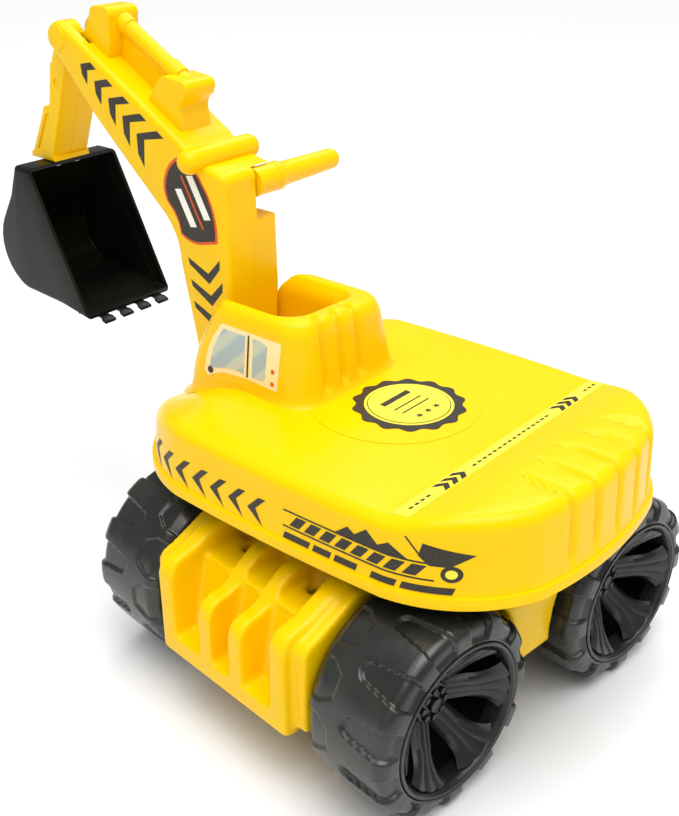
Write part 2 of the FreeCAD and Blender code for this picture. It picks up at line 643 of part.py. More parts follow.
def boom_outline():
    """The boom's side outline, from the top of the nose back to the foot and up the front."""
    nose_top = offset_point(DIPPER_PIVOT, 0.0, -NOSE_RADIUS)
    nose_tip = offset_point(DIPPER_PIVOT, NOSE_RADIUS, 0.0)
    nose_low = (DIPPER_PIVOT[0] + 0.686 * NOSE_RADIUS, DIPPER_PIVOT[1] - 0.728 * NOSE_RADIUS)
    foot_rear = (BOOM_FOOT[0] - BOOM_FOOT_RADIUS, BOOM_FOOT[1] + 2)
    foot_low = (BOOM_FOOT[0], BOOM_FOOT[1] - BOOM_FOOT_RADIUS)
    foot_front = (BOOM_FOOT[0] + BOOM_FOOT_RADIUS, BOOM_FOOT[1] + 2)
    steps = [(170.0, 344.4), ((158.0, 336.0), (146.0, 331.0)), (134.0, 328.0), ((128.5, 325.5), (127.0, 319.0)),
             (127.0, 305.0), ((129.0, 278.0), (134.0, 242.0)), foot_rear, (foot_low, foot_front),
             (174.0, 258.0), ((178.5, 280.0), (190.0, 294.5)), (214.0, 315.0), (255.0, 350.0), nose_low,
             (nose_tip, nose_top)]
    return side_wire(nose_top, steps)


def boom_half(side):
    """One half of the hollow boom, made on the +Y side and mirrored for the right."""
    wire = boom_outline()
    width = BOOM_HALF_WIDTH
    half = side_prism(wire, 0.0, width).cut(inset_prism(wire, BOOM_WALL, 0.0, width - BOOM_WALL))
    cheek_area = cylinder_y(FORK_RADIUS + 2, FORK_HALF_WIDTH, width, DIPPER_PIVOT)
    cheek = side_prism(wire, FORK_HALF_WIDTH, width).common(cheek_area)
    pieces = [half, cheek, cylinder_y(BOOM_PIN_RADIUS + 6, 0.0, width, BOOM_FOOT)]
    pieces.append(cylinder_y(LEVER_PIN_RADIUS + 3, width - 7, width, LEVER_PIVOT))
    for place in boom_screw_places():
        pieces.append(cylinder_y(5.0, 0.0, width, place))
    half = join(pieces)
    cuts = [cylinder_y(FORK_RADIUS, -1.0, FORK_HALF_WIDTH, DIPPER_PIVOT)]
    cuts.append(cylinder_y(BOOM_PIN_RADIUS + RUNNING_FIT, -1.0, width + 1, BOOM_FOOT))
    cuts.append(cylinder_y(DIPPER_PIN_RADIUS, 0.0, width - 1.5, DIPPER_PIVOT))
    cuts.append(cylinder_y(GRIP_BAR_RADIUS, -1.0, width + 1, GRIP_BAR_AT))
    cuts.append(cylinder_y(LEVER_PIN_RADIUS, 0.0, width - 2.0, LEVER_PIVOT))
    half = half.cut(cuts)
    if side < 0:
        return mirrored_y(half).cut([lever_window()] + boom_screw_room(-1))
    return half.cut(boom_screw_room(1))


def boom_screw_places():
    return [(148.0, 226.0), (148.0, 280.0), (220.0, 331.0)]


def boom_screw_room(side):
    cuts = []
    for place in boom_screw_places():
        if side > 0:
            cuts.append(cylinder_y(BOOM_SCREW_RADIUS, -1.0, 16.0, place))
        else:
            cuts.append(cylinder_y(BOOM_SCREW_RADIUS + CLEARANCE, -BOOM_HALF_WIDTH, 1.0, place))
            cuts.append(cylinder_y(3.8, -BOOM_HALF_WIDTH - 1, -BOOM_HALF_WIDTH + 5, place))
    return cuts


def lever_window():
    """The corner of the right half left open for the lever's travel."""
    drop = abs(GRIP_AT[0] - LEVER_PIVOT[0]) * math.sin(math.radians(LEVER_DROP))
    top = GRIP_AT[1] + GRIP_ROOT_RADIUS + 1.5
    low = GRIP_AT[1] - GRIP_ROOT_RADIUS - drop - 4
    return box(GRIP_AT[0] - 20, GRIP_AT[0] + 15.5, -BOOM_HALF_WIDTH - 1, -4.5, low, top)


def boom_screws():
    screws = []
    seat_y = -BOOM_HALF_WIDTH + 5
    for place in boom_screw_places():
        shank = cylinder_y(BOOM_SCREW_RADIUS, seat_y, 15.0, place)
        head = cylinder_y(3.3, seat_y - 2.4, seat_y, place)
        screws.append(join([shank, head]))
    return Part.makeCompound(screws)


def grip_bar():
    half = GRIP_BAR_LENGTH / 2 - GRIP_BAR_RADIUS
    rod = cylinder_y(GRIP_BAR_RADIUS, -half, half, GRIP_BAR_AT)
    ends = [Part.makeSphere(GRIP_BAR_RADIUS, Vector(GRIP_BAR_AT[0], y, GRIP_BAR_AT[1])) for y in (-half, half)]
    return join([rod] + ends)


def arm_top(x):
    """Height of the upper arm's top surface at x."""
    start = offset_point(DIPPER_PIVOT, 0.0, -NOSE_RADIUS)
    return start[1] + (x - start[0]) * math.tan(ARM_SLOPE)


def ram_front_block():
    points = [(236.0, arm_top(236.0)), (230.0, 398.0), (229.0, 414.0), (233.0, 418.0), (262.0, 424.0),
              (274.0, 425.0), (278.0, 420.0), (276.0, 409.0), (272.0, arm_top(272.0))]
    return polygon_prism(points, -RAM_BLOCK_HALF_WIDTH, RAM_BLOCK_HALF_WIDTH)


def ram_rear_block():
    points = [(172.0, arm_top(172.0)), (174.0, 362.0), (161.0, 372.0), (160.0, 380.0), (165.0, 384.0),
              (204.0, 386.0), (213.0, 380.0), (216.0, arm_top(216.0))]
    return polygon_prism(points, -RAM_BLOCK_HALF_WIDTH, RAM_BLOCK_HALF_WIDTH)


def ram_cylinder():
    rear = offset_point((200.0, arm_top(200.0)), 0.0, -20.0)
    front = offset_point((262.0, arm_top(262.0)), 0.0, -20.0)
    start = Vector(rear[0], 0, rear[1])
    run = Vector(front[0], 0, front[1]) - start
    rod = Part.makeCylinder(RAM_RADIUS, run.Length, start, run)
    return rod.cut([ram_front_block(), ram_rear_block()])


def dipper_pin():
    half = BOOM_HALF_WIDTH - 1.5
    return cylinder_y(DIPPER_PIN_RADIUS, -half, half, DIPPER_PIVOT)


def lever_pin():
    half = BOOM_HALF_WIDTH - 2.0
    return cylinder_y(LEVER_PIN_RADIUS, -half, half, LEVER_PIVOT)


# Lever and push rod

def bar_between(a, b, width, y0, y1):
    """A flat bar with round ends between two points in the XZ plane."""
    run = Vector(b[0] - a[0], 0, b[1] - a[1])
    square = Vector(-run.z, 0, run.x).normalize() * (width / 2)
    start = Vector(a[0], y0, a[1])
    corners = [start + square, start + run + square, start + run - square, start - square, start + square]
    flat = Part.Face(Part.makePolygon(corners)).extrude(Vector(0, y1 - y0, 0))
    return join([flat, cylinder_y(width / 2, y0, y1, a), cylinder_y(width / 2, y0, y1, b)])


def lever_arm():
    arm = bar_between(GRIP_AT, LEVER_PIVOT, 11.0, -17.0, -6.0)
    crank = bar_between(LEVER_PIVOT, CRANK_PIN_AT, 9.0, -12.0, -6.0)
    pin = cylinder_y(CRANK_PIN_RADIUS, -6.0, ROD_WIDTH / 2, CRANK_PIN_AT)
    block = cylinder_y(GRIP_ROOT_RADIUS, -BOOM_HALF_WIDTH, -6.0, GRIP_AT)
    lever = join([arm, crank, pin, block])
    return lever.cut(cylinder_y(LEVER_PIN_RADIUS + RUNNING_FIT, -30.0, 0.0, LEVER_PIVOT))


def lever_grip():
    root = Vector(GRIP_AT[0], -BOOM_HALF_WIDTH, GRIP_AT[1])
    collar = Part.makeCylinder(GRIP_ROOT_RADIUS, 7, root, Vector(0, -1, 0))
    length = GRIP_REACH - BOOM_HALF_WIDTH - GRIP_TIP_RADIUS
    handle = Part.makeCone(GRIP_ROOT_RADIUS - 1, GRIP_TIP_RADIUS, length, root, Vector(0, -1, 0))
    tip = Part.makeSphere(GRIP_TIP_RADIUS, root + Vector(0, -length, 0))
    return join([collar, handle, tip])


def rod_block(place, along, above, below, y_half):
    """A block about a point of the rod, sized along the arm and square to it."""
    corners = [offset_point(place, -along, -above), offset_point(place, along, -above),
               offset_point(place, along, below), offset_point(place, -along, below)]
    return polygon_prism(corners, -y_half, y_half)


def push_rod():
    half = ROD_WIDTH / 2
    rear = offset_point(CRANK_PIN_AT, 6.0, 0.0)
    front = offset_point(HORN_PIN_AT, -5.5, 0.0)
    middle = ((rear[0] + front[0]) / 2, (rear[1] + front[1]) / 2)
    stem = rod_block(middle, (ROD_LENGTH - 11.5) / 2, ROD_HEIGHT / 2 - 1.0, ROD_HEIGHT / 2, half)
    crank_reach = CRANK_PIN_RADIUS + SLOT_PLAY
    horn_reach = HORN_PIN_RADIUS + SLOT_PLAY
    rear_eye = rod_block(CRANK_PIN_AT, 6.5, 6.5, 3.0, half)
    front_eye = rod_block(HORN_PIN_AT, 6.0, 2.6, 6.0, half)
    rod = join([stem, rear_eye, front_eye])
    rear_slot = rod_block(CRANK_PIN_AT, crank_reach, CRANK_PIN_RADIUS + 0.8, 5.0, half + 1)
    front_slot = rod_block(HORN_PIN_AT, horn_reach, 5.0, HORN_PIN_RADIUS + 0.8, half + 1)
    return rod.cut([rear_slot, front_slot])


# Dipper and bucket

def dipper_outline():
    x, z = DIPPER_PIVOT
    start = (x - NOSE_RADIUS * 0.9, z - NOSE_RADIUS * 0.436)
    steps = [((x - NOSE_RADIUS * 0.5, z + NOSE_RADIUS * 0.866), (x + NOSE_RADIUS, z)), (313.0, 377.0),
             (320.0, 347.0), (325.0, 345.0), (330.0, 339.0), (348.0, 307.0), (351.0, 306.0), (351.0, 302.0),
             (322.0, 302.0), (322.0, 306.0), (324.0, 306.0), (312.0, 336.0), (296.0, 377.0), start]
    return side_wire(start, steps)


def dipper_half():
    wire = dipper_outline()
    width = DIPPER_HALF_WIDTH
    solid = side_prism(wire, 0.0, width)
    head_zone = cylinder_y(24.0, -1.0, width + 1, DIPPER_PIVOT)
    room = inset_prism(wire, DIPPER_WALL, 0.0, width - DIPPER_WALL).cut(head_zone)
    fork = cylinder_y(21.0, -1.0, 9.0, DIPPER_PIVOT)
    half = solid.cut([room, fork])
    bosses = [cylinder_y(4.5, 0.0, width, place) for place in dipper_screw_places()]
    feet = [cylinder_z(4.5, 302.0, 316.0, x, y).common(solid) for x, y in bucket_screw_places() if y > 0]
    half = join([half] + bosses + feet)
    cuts = [cylinder_y(DIPPER_PIN_RADIUS + RUNNING_FIT, -1.0, width + 1, DIPPER_PIVOT)]
    cuts += [cylinder_z(1.5, 300.0, 313.0, x, y) for x, y in bucket_screw_places() if y > 0]
    return half.cut(cuts)


def dipper_screw_places():
    return [(309.0, 364.0)]


def dipper_left():
    horn = cylinder_y(HORN_PIN_RADIUS, -9.0, 9.0, HORN_PIN_AT)
    half = join([dipper_half(), horn])
    return half.cut([cylinder_y(BOOM_SCREW_RADIUS, -1.0, 10.0, place) for place in dipper_screw_places()])


def dipper_right():
    half = mirrored_y(dipper_half())
    cuts = []
    for place in dipper_screw_places():
        cuts.append(cylinder_y(BOOM_SCREW_RADIUS + CLEARANCE, -DIPPER_HALF_WIDTH, 1.0, place))
        cuts.append(cylinder_y(3.2, -DIPPER_HALF_WIDTH - 1, -DIPPER_HALF_WIDTH + 3, place))
    return half.cut(cuts)


def dipper_screws():
    screws = []
    for place in dipper_screw_places():
        seat_y = -DIPPER_HALF_WIDTH + 3
        shank = cylinder_y(BOOM_SCREW_RADIUS, seat_y, 9.0, place)
        head = cylinder_y(2.8, seat_y - 2.0, seat_y, place)
        screws.append(join([shank, head]))
    return Part.makeCompound(screws)


def bucket_screw_places():
    return [(331.0, -9.0), (331.0, 9.0)]


def bucket_outline():
    steps = [(341.0, 301.6), (351.0, 277.0), (365.0, 256.0), ((371.0, 233.0), (353.0, 204.0)), (338.0, 200.0),
             (300.0, 198.0), (268.0, 193.0)]
    return side_wire((323.0, 301.6), steps + [(323.0, 301.6)])


def bucket():
    wire = bucket_outline()
    width = BUCKET_HALF_WIDTH
    solid = side_prism(wire, -width, width)
    room = inset_prism(wire, BUCKET_WALL, -width + BUCKET_WALL, width - BUCKET_WALL)
    mouth = [(323.0, 301.6), (268.0, 193.0)]
    run = Vector(mouth[0][0] - mouth[1][0], 0, mouth[0][1] - mouth[1][1]).normalize()
    out = Vector(-run.z, 0, run.x)
    low = Vector(mouth[1][0], 0, mouth[1][1]) + run * (BUCKET_WALL * 1.2) + out * 5
    high = Vector(mouth[0][0], 0, mouth[0][1]) - run * (BUCKET_WALL * 1.6) + out * 5
    opening = [(low.x, low.z), (high.x, high.z), (high.x - out.x * 15, high.z - out.z * 15),
               (low.x - out.x * 12 + run.x * 3, low.z - out.z * 12 + run.z * 3)]
    shell = solid.cut([room, polygon_prism(opening, -width + BUCKET_WALL, width - BUCKET_WALL)])
    pieces = [shell]
    pitch = (2 * width - 12) / TOOTH_COUNT
    for i in range(TOOTH_COUNT):
        centre = -width + 6 + pitch * (i + 0.5)
        tooth = [(272.0, 193.7), (269.0, 196.0), (268.0 - TOOTH_LENGTH, 194.0), (268.0 - TOOTH_LENGTH, 192.0)]
        pieces.append(polygon_prism(tooth, centre - TOOTH_WIDTH / 2, centre + TOOTH_WIDTH / 2))
    shell = join(pieces)
    return shell.cut([cylinder_z(1.8, 290.0, 305.0, x, y) for x, y in bucket_screw_places()])


def bucket_screws():
    screws = []
    seat_z = 301.6 - BUCKET_WALL
    for x, y in bucket_screw_places():
        screws.append(screw_z(1.5, x, y, seat_z, 12, 1))
    return Part.makeCompound(screws)


# Assembly

def chassis_parts():
    parts = {
        "chassis_shell": chassis_shell(), "chassis_pan": chassis_pan(), "chassis_screws": chassis_screws(),
        "front_axle": axle(WHEELBASE_HALF), "rear_axle": axle(-WHEELBASE_HALF),
        "axle_push_nuts": axle_push_nuts(),
        "slew_track": ring_z(TRACK_RING_RADIUS, TRACK_RING_RADIUS - RING_WIDTH, PEDESTAL_Z,
                             PEDESTAL_Z + RING_HEIGHT),
        "king_bolt": king_bolt(), "king_washer": king_washer(), "king_nut": king_nut(),
    }
    corners = {"front_left": (-1, 1), "front_right": (1, 1), "rear_left": (-1, -1), "rear_right": (1, -1)}
    tyre_shape = tyre()
    insert_shape = wheel_insert()
    cap_shape = hub_cap()
    for corner, (side, end) in corners.items():
        y = end * WHEELBASE_HALF
        parts["tyre_" + corner] = placed_wheel_part(tyre_shape, side, y)
        parts["wheel_insert_" + corner] = placed_wheel_part(insert_shape, side, y)
        parts["hub_cap_" + corner] = placed_wheel_part(cap_shape, side, y)
    for shape in parts.values():
        shape.rotate(Vector(0, 0, 0), Z_AXIS, CHASSIS_TURN)
    return parts


def upper_parts():
    return {
        "seat_shell": seat_shell(), "seat_base": seat_base(), "seat_screws": seat_screws(),
        "slew_ring": ring_z(TRACK_RING_RADIUS + 2, TRACK_RING_RADIUS - RING_WIDTH - 2, RING_BASE_Z, FLANGE_Z),
        "boom_pin": boom_pin(), "boom_left": boom_half(1), "boom_right": boom_half(-1),
        "boom_screws": boom_screws(), "grip_bar": grip_bar(), "ram_front_block": ram_front_block(),
        "ram_rear_block": ram_rear_block(), "ram_cylinder": ram_cylinder(), "dipper_pin": dipper_pin(),
        "lever_pin": lever_pin(), "lever_arm": lever_arm(), "lever_grip": lever_grip(),
        "push_rod": push_rod(), "dipper_left": dipper_left(), "dipper_right": dipper_right(),
        "dipper_screws": dipper_screws(), "bucket": bucket(), "bucket_screws": bucket_screws(),
    }


def main():
    parts = chassis_parts()
    parts.update(upper_parts())
    reach = Part.makeCompound(list(parts.values())).optimalBoundingBox(False)
    shift = Vector(-(reach.XMin + reach.XMax) / 2, -(reach.YMin + reach.YMax) / 2, -reach.ZMin)
    print("footprint middle from the slew axis:", -shift.x, -shift.y, -shift.z)
    os.makedirs("parts", exist_ok=True)
    for node, shape in parts.items():
        shape.translate(shift)
        shape.exportStep("parts/" + node + ".step")
        print(node, "valid" if shape.isValid() else "NOT VALID", "solids", len(shape.Solids),
              "volume", round(shape.Volume, 1))


main()
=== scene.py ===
import cmath
import json
import math

import bmesh
import bpy
from mathutils import Matrix, Vector


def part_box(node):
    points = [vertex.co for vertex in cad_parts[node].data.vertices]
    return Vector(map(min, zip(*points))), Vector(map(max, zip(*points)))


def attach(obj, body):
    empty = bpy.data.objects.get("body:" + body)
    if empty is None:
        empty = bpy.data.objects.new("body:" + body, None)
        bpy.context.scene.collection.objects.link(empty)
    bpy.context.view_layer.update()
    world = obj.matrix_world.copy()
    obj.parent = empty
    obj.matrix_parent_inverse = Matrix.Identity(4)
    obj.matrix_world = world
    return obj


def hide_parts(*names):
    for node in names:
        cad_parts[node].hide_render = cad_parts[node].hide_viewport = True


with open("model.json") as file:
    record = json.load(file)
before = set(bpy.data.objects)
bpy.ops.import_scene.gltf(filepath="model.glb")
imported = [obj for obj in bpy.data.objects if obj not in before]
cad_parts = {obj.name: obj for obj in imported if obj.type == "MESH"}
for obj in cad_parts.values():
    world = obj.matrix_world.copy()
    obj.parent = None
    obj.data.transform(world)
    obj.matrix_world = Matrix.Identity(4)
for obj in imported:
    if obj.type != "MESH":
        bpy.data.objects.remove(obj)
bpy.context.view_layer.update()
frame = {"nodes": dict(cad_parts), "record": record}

# ---------------------------------------------------------------- camera
# A standing child's view of the toy from behind its left side. Everything is measured from the
# slew axis on the ground, which the turntable ring gives; the ring's own box finds it.

MM = 0.001
ring_low, ring_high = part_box("slew_ring")
SLEW_X = (ring_low[0] + ring_high[0]) / 2
SLEW_Y = (ring_low[1] + ring_high[1]) / 2
EYE = (-0.4091, 0.5338, 0.5370)
YAW, PITCH, ROLL = math.radians(-49.362), math.radians(-27.330), math.radians(-0.264)
SENSOR_WIDTH, LENS_LENGTH = 36.0, 50.4353

ahead = Vector((math.cos(PITCH) * math.cos(YAW), math.cos(PITCH) * math.sin(YAW), math.sin(PITCH)))
level = ahead.cross(Vector((0, 0, 1))).normalized()
upward = level.cross(ahead)
rightward = math.cos(ROLL) * level + math.sin(ROLL) * upward
top = math.cos(ROLL) * upward - math.sin(ROLL) * level
bpy.ops.object.camera_add()
camera = bpy.context.object
camera.name = "camera"
turn = Matrix((rightward, top, -ahead)).transposed().to_4x4()
camera.matrix_world = Matrix.Translation((EYE[0] + SLEW_X, EYE[1] + SLEW_Y, EYE[2])) @ turn
camera.data.sensor_width = SENSOR_WIDTH
camera.data.lens = LENS_LENGTH
camera.data.clip_start = 0.01
bpy.context.scene.camera = camera


# ---------------------------------------------------------------- floor and light
# A pale seamless studio floor, two large soft lamps over the toy and a bright even room round it.

class Signal:
    """A socket in a material being made. Sums on signals add the Math nodes that work them out."""

    def __init__(self, finish, socket):
        self.finish = finish
        self.socket = socket

    def maths(self, operation, *others):
        return self.finish.node("ShaderNodeMath", {"operation": operation}, dict(enumerate((self,) + others)))

    def __add__(self, other):
        return self.maths("ADD", other)

    def __mul__(self, other):
        return self.maths("MULTIPLY", other)

    __radd__ = __add__
    __rmul__ = __mul__

    def ramp(self, start, end):
        """0 at start, 1 at end and smooth between."""
        settings = {"interpolation_type": "SMOOTHSTEP"}
        values = {"Value": self, "From Min": start, "From Max": end}
        return self.finish.node("ShaderNodeMapRange", settings, values)


class Finish:
    """A material being made. node() adds any node and gives its first output as a signal."""

    def __init__(self, name):
        self.material = bpy.data.materials.new(name)
        self.material.use_nodes = True
        self.nodes = self.material.node_tree.nodes
        self.links = self.material.node_tree.links
        self.nodes.clear()

    def node(self, kind, settings=None, values=None, output=0):
        made = self.nodes.new(kind)
        for key, value in (settings or {}).items():
            setattr(made, key, value)
        for key, value in (values or {}).items():
            if isinstance(value, Signal):
                self.links.new(value.socket, made.inputs[key])
            else:
                made.inputs[key].default_value = value
        return Signal(self, made.outputs[output])

    def noise(self, scale, detail=2.0, stretch=(1, 1, 1)):
        place = self.node("ShaderNodeTexCoord", output=3)
        if stretch != (1, 1, 1):
            place = self.node("ShaderNodeMapping", None, {"Vector": place, "Scale": stretch})
        return self.node("ShaderNodeTexNoise", None, {"Vector": place, "Scale": scale, "Detail": detail})

    def axis(self, which):
        place = self.node("ShaderNodeTexCoord", output=3)
        return self.node("ShaderNodeSeparateXYZ", None, {"Vector": place}, output=which)

    def mix(self, factor, first, second):
        values = {0: factor, 6: first, 7: second}
        return self.node("ShaderNodeMix", {"data_type": "RGBA"}, values, output=2)

    def bump(self, height, depth, **under):
        values = {"Height": height, "Strength": 1.0, "Distance": depth, **under}
        return self.node("ShaderNodeBump", None, values)

    def surface(self, **values):
        """Ends the material. A value is named as its socket is, with _ for a space."""
        named = {key.replace("_", " "): value for key, value in values.items()}
        shader = self.node("ShaderNodeBsdfPrincipled", None, named)
        ending = self.nodes.new("ShaderNodeOutputMaterial")
        self.links.new(shader.socket, ending.inputs["Surface"])
        return self.material


def colour(red, green, blue):
    """A colour given as screen values from 0 to 255, made linear."""
    def linear(value):
        share = value / 255.0
        return share / 12.92 if share <= 0.04045 else ((share + 0.055) / 1.055) ** 2.4
    return (linear(red), linear(green), linear(blue), 1.0)


def paint(thing, material):
    thing.data.materials.clear()
    thing.data.materials.append(material)


def added(name, primitive, **settings):
    """Adds a primitive with nothing else selected, and names it."""
    bpy.ops.object.select_all(action="DESELECT")
    primitive(**settings)
    bpy.context.object.name = name
    return bpy.context.object


FLOOR_SIZE = 60.0
ROOM_LIGHT = 0.36
SKY_POWER, SKY_SPREAD = 2.35, math.radians(70)
LAMPS = (("key", (-0.6, 0.3, 2.1), 1.2, 14.0), ("fill", (-0.4, 1.9, 1.1), 1.3, 1.5),
         ("back", (0.5, -1.2, 1.7), 1.0, 7.0))

floor = added("floor", bpy.ops.mesh.primitive_plane_add, size=FLOOR_SIZE, location=(0, 0, 0))
board = Finish("pale_floor")
tone = board.mix(board.noise(40.0, 3.0), (0.88, 0.88, 0.88, 1), (0.92, 0.92, 0.92, 1))
paint(floor, board.surface(Base_Color=tone, Roughness=0.7))

room = bpy.data.worlds.new("studio")
room.use_nodes = True
room.node_tree.nodes["Background"].inputs["Color"].default_value = (1.0, 1.0, 1.0, 1.0)
room.node_tree.nodes["Background"].inputs["Strength"].default_value = ROOM_LIGHT
bpy.context.scene.world = room
bpy.context.scene.view_settings.view_transform = "Standard"
for name, place, size, power in LAMPS:
    lamp = added(name + "_lamp", bpy.ops.object.light_add, type="AREA", location=place)
    lamp.data.size = size
    lamp.data.energy = power
    towards = Vector((-0.05, 0, 0.15)) - Vector(place)
    lamp.rotation_euler = towards.to_track_quat("-Z", "Y").to_euler()
sky = added("sky_lamp", bpy.ops.object.light_add, type="SUN", location=(0, 0, 3))
sky.data.energy = SKY_POWER
sky.data.angle = SKY_SPREAD
sky.rotation_euler = (math.radians(-8), math.radians(-9), 0)


# ---------------------------------------------------------------- chassis
# The blow-moulded undercarriage: one yellow shell with ribbed ends, a step between the wheels on
# each side and a round pedestal for the turntable. It is drawn square and turned with the wheels.

CHASSIS_TURN = math.radians(-5.52)
BODY_SIDE = 71.0
END_FACE = 156.8
AXLE_HEIGHT = 67.0
WHEELBASE_HALF = 88.8
ARCH_RADIUS = 71.0
PEDESTAL_RADIUS = 80.0


def arc(first, middle, last, count=6):
    """Points on the arc through three points, without the first."""
    a, b, c = (complex(*point) for point in (first, middle, last))
    bend = (c - a) / (b - a)
    centre = a + (b - a) * (bend - abs(bend) ** 2) / (2j * bend.imag)
    whole = cmath.phase((c - centre) / (a - centre)) % (2 * math.pi)
    if bend.imag < 0:
        whole -= 2 * math.pi
    points = [centre + (a - centre) * cmath.exp(1j * whole * i / count) for i in range(1, count + 1)]
    return [(point.real, point.imag) for point in points]


def select_only(*things):
    bpy.ops.object.select_all(action="DESELECT")
    for thing in things:
        thing.select_set(True)
    bpy.context.view_layer.objects.active = things[0]


def faces_out(thing):
    """Turns the faces of a closed shape outwards."""
    select_only(thing)
    bpy.ops.object.mode_set(mode="EDIT")
    bpy.ops.mesh.select_all(action="SELECT")
    bpy.ops.mesh.normals_make_consistent(inside=False)
    bpy.ops.object.mode_set(mode="OBJECT")
    return thing


def slab(name, points, low, high, along="Y"):
    """An outline drawn in the plane square to an axis and pushed from low to high along it."""
    low, high = sorted((low, high))
    made = added(name, bpy.ops.mesh.primitive_circle_add, vertices=len(points), fill_type="NGON")
    order = {"X": lambda u, v, w: (w, u, v), "Y": lambda u, v, w: (u, w, v),
             "Z": lambda u, v, w: (u, v, w)}[along]
    for vertex, (u, v) in zip(made.data.vertices, points):
        vertex.co = order(u * MM, v * MM, low * MM)
    push = order(0, 0, (high - low) * MM)
    bpy.ops.object.mode_set(mode="EDIT")
    bpy.ops.mesh.select_all(action="SELECT")
    bpy.ops.mesh.extrude_region_move(TRANSFORM_OT_translate={"value": push})
    bpy.ops.object.mode_set(mode="OBJECT")
    return faces_out(made)


def block(name, x0, x1, y0, y1, z0, z1):
    return slab(name, [(x0, y0), (x1, y0), (x1, y1), (x0, y1)], z0, z1, "Z")


def drum(name, radius, start, end, sides=64):
    """A round bar between two points."""
    a, b = Vector(start) * MM, Vector(end) * MM
    made = added(name, bpy.ops.mesh.primitive_cylinder_add, vertices=sides, radius=radius * MM,
                 depth=(b - a).length, location=(a + b) / 2,
                 rotation=(b - a).to_track_quat("Z", "Y").to_euler())
    bpy.ops.object.transform_apply(location=True, rotation=True, scale=True)
    return made


def join(things, name):
    select_only(*things)
    if len(things) > 1:
        bpy.ops.object.join()
    things[0].name = name
    return things[0]


def modify(thing, kind, **settings):
    select_only(thing)
    modifier = thing.modifiers.new(kind, kind)
    for key, value in settings.items():
        setattr(modifier, key, value)
    bpy.ops.object.modifier_apply(modifier=modifier.name)
    return thing


def cut(thing, cutters):
    """Takes the cutters out of the thing, then deletes them."""
    tool = join(cutters, "cutter")
    modify(thing, "BOOLEAN", operation="DIFFERENCE", solver="EXACT", use_self=True, object=tool)
    bpy.data.objects.remove(tool)
    return thing


def moulded(thing, grain, rounds):
    """Joins overlapping blocks into one even skin and rounds every edge, as blow moulding does."""
    modify(thing, "REMESH", mode="VOXEL", voxel_size=grain * MM, adaptivity=0.0)
    modify(thing, "SMOOTH", factor=0.5, iterations=rounds)
    select_only(thing)
    bpy.ops.object.shade_smooth()


def turned_with_wheels(thing):
    thing.data.transform(Matrix.Rotation(CHASSIS_TURN, 4, "Z"))


def settled(thing, body, finish, slot=None, *nodes):
    """Moves a piece drawn about the slew axis to its place, on its body, and gives it its finish."""
    thing.data.transform(Matrix.Translation((SLEW_X, SLEW_Y, 0)))
    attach(thing, body)
    if nodes:
        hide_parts(*nodes)
    paint(thing, finish)


def shiny_plastic(name, bright, deep, rough):
    """Blow-moulded polyethylene: flow clouds in the colour, an orange-peel skin and fine scuffs."""
    plastic = Finish(name)
    shade = plastic.mix(plastic.noise(9.0, 3.0).ramp(0.3, 0.75) * 0.35, bright, deep)
    scuffs = plastic.noise(260.0, 2.0, (1.0, 0.05, 0.4)).ramp(0.62, 0.74)
    scuffs += plastic.noise(230.0, 2.0, (0.07, 1.0, 0.5)).ramp(0.64, 0.76)
    haze = plastic.noise(34.0, 4.0).ramp(0.35, 0.8)
    peel = plastic.bump(plastic.noise(420.0, 2.0), 0.00003)
    skin = plastic.bump(plastic.noise(45.0, 1.0), 0.00005, Normal=peel)
    return plastic.surface(Base_Color=shade, Roughness=haze * 0.1 + scuffs * 0.12 + rough, Normal=skin,
                           Specular_IOR_Level=0.16)


yellow = shiny_plastic("yellow_plastic", colour(254, 206, 0), colour(248, 196, 0), 0.2)

outer_rib = [(90, 50), (END_FACE, 50), (END_FACE, 106)]
outer_rib += arc((END_FACE, 106), (152.5, 114.5), (144, 118))
outer_rib += [(133, 121), (118, 128), (104, 134), (90, 134)]
inner_rib = [(90, 50), (END_FACE, 50), (END_FACE, 93)]
inner_rib += arc((END_FACE, 93), (153.2, 101.4), (146, 105))
inner_rib += [(138, 106), (131, 109), (123, 117), (112, 124), (100, 128), (90, 128)]
skirt = [(100, 43), (152, 43), (END_FACE, 46), (END_FACE, 60), (139.5, 60), (129, 106), (122, 111),
         (100, 114)]
wing = [(60, 50), (149, 50), (149, 104)] + arc((149, 104), (146, 111), (139, 114), 4)
wing += [(122, 122), (104, 131), (60, 131)]
step = [(60, 46), (112, 50), (125, 60), (125, 106), (121, 115), (112, 119), (60, 121)]
end_blocks = (("skirt", skirt, -61, 61), ("rib", outer_rib, -61, -47), ("rib", outer_rib, 47, 61),
              ("rib", inner_rib, -21, -9), ("rib", inner_rib, 9, 21),
              ("wing", wing, -BODY_SIDE, -60), ("wing", wing, 60, BODY_SIDE))
shell_blocks = []
for end in (-1, 1):
    for name, points, low, high in end_blocks:
        shell_blocks.append(slab(name, [(end * u, v) for u, v in points], low, high, "X"))
shell_blocks.append(block("waist", -BODY_SIDE, BODY_SIDE, -128, 128, 43, 112))
for side in (-1, 1):
    shell_blocks.append(slab("step", [(side * u, v) for u, v in step], -46, 46, "Y"))
shell_blocks.append(drum("pedestal", PEDESTAL_RADIUS, (0, 0, 100), (0, 0, 134.9), 96))
cone = added("cone", bpy.ops.mesh.primitive_cone_add, vertices=96, radius1=104 * MM,
             radius2=PEDESTAL_RADIUS * MM, depth=26 * MM, location=(0, 0, 121 * MM))
bpy.ops.object.transform_apply(location=True, rotation=True, scale=True)
chassis = join(shell_blocks + [cone], "chassis_moulding")
cutters = [block("hollow", -67, 67, -122, 122, 30, 106), block("step_hollow", -121, 121, -13, 13, 30, 108)]
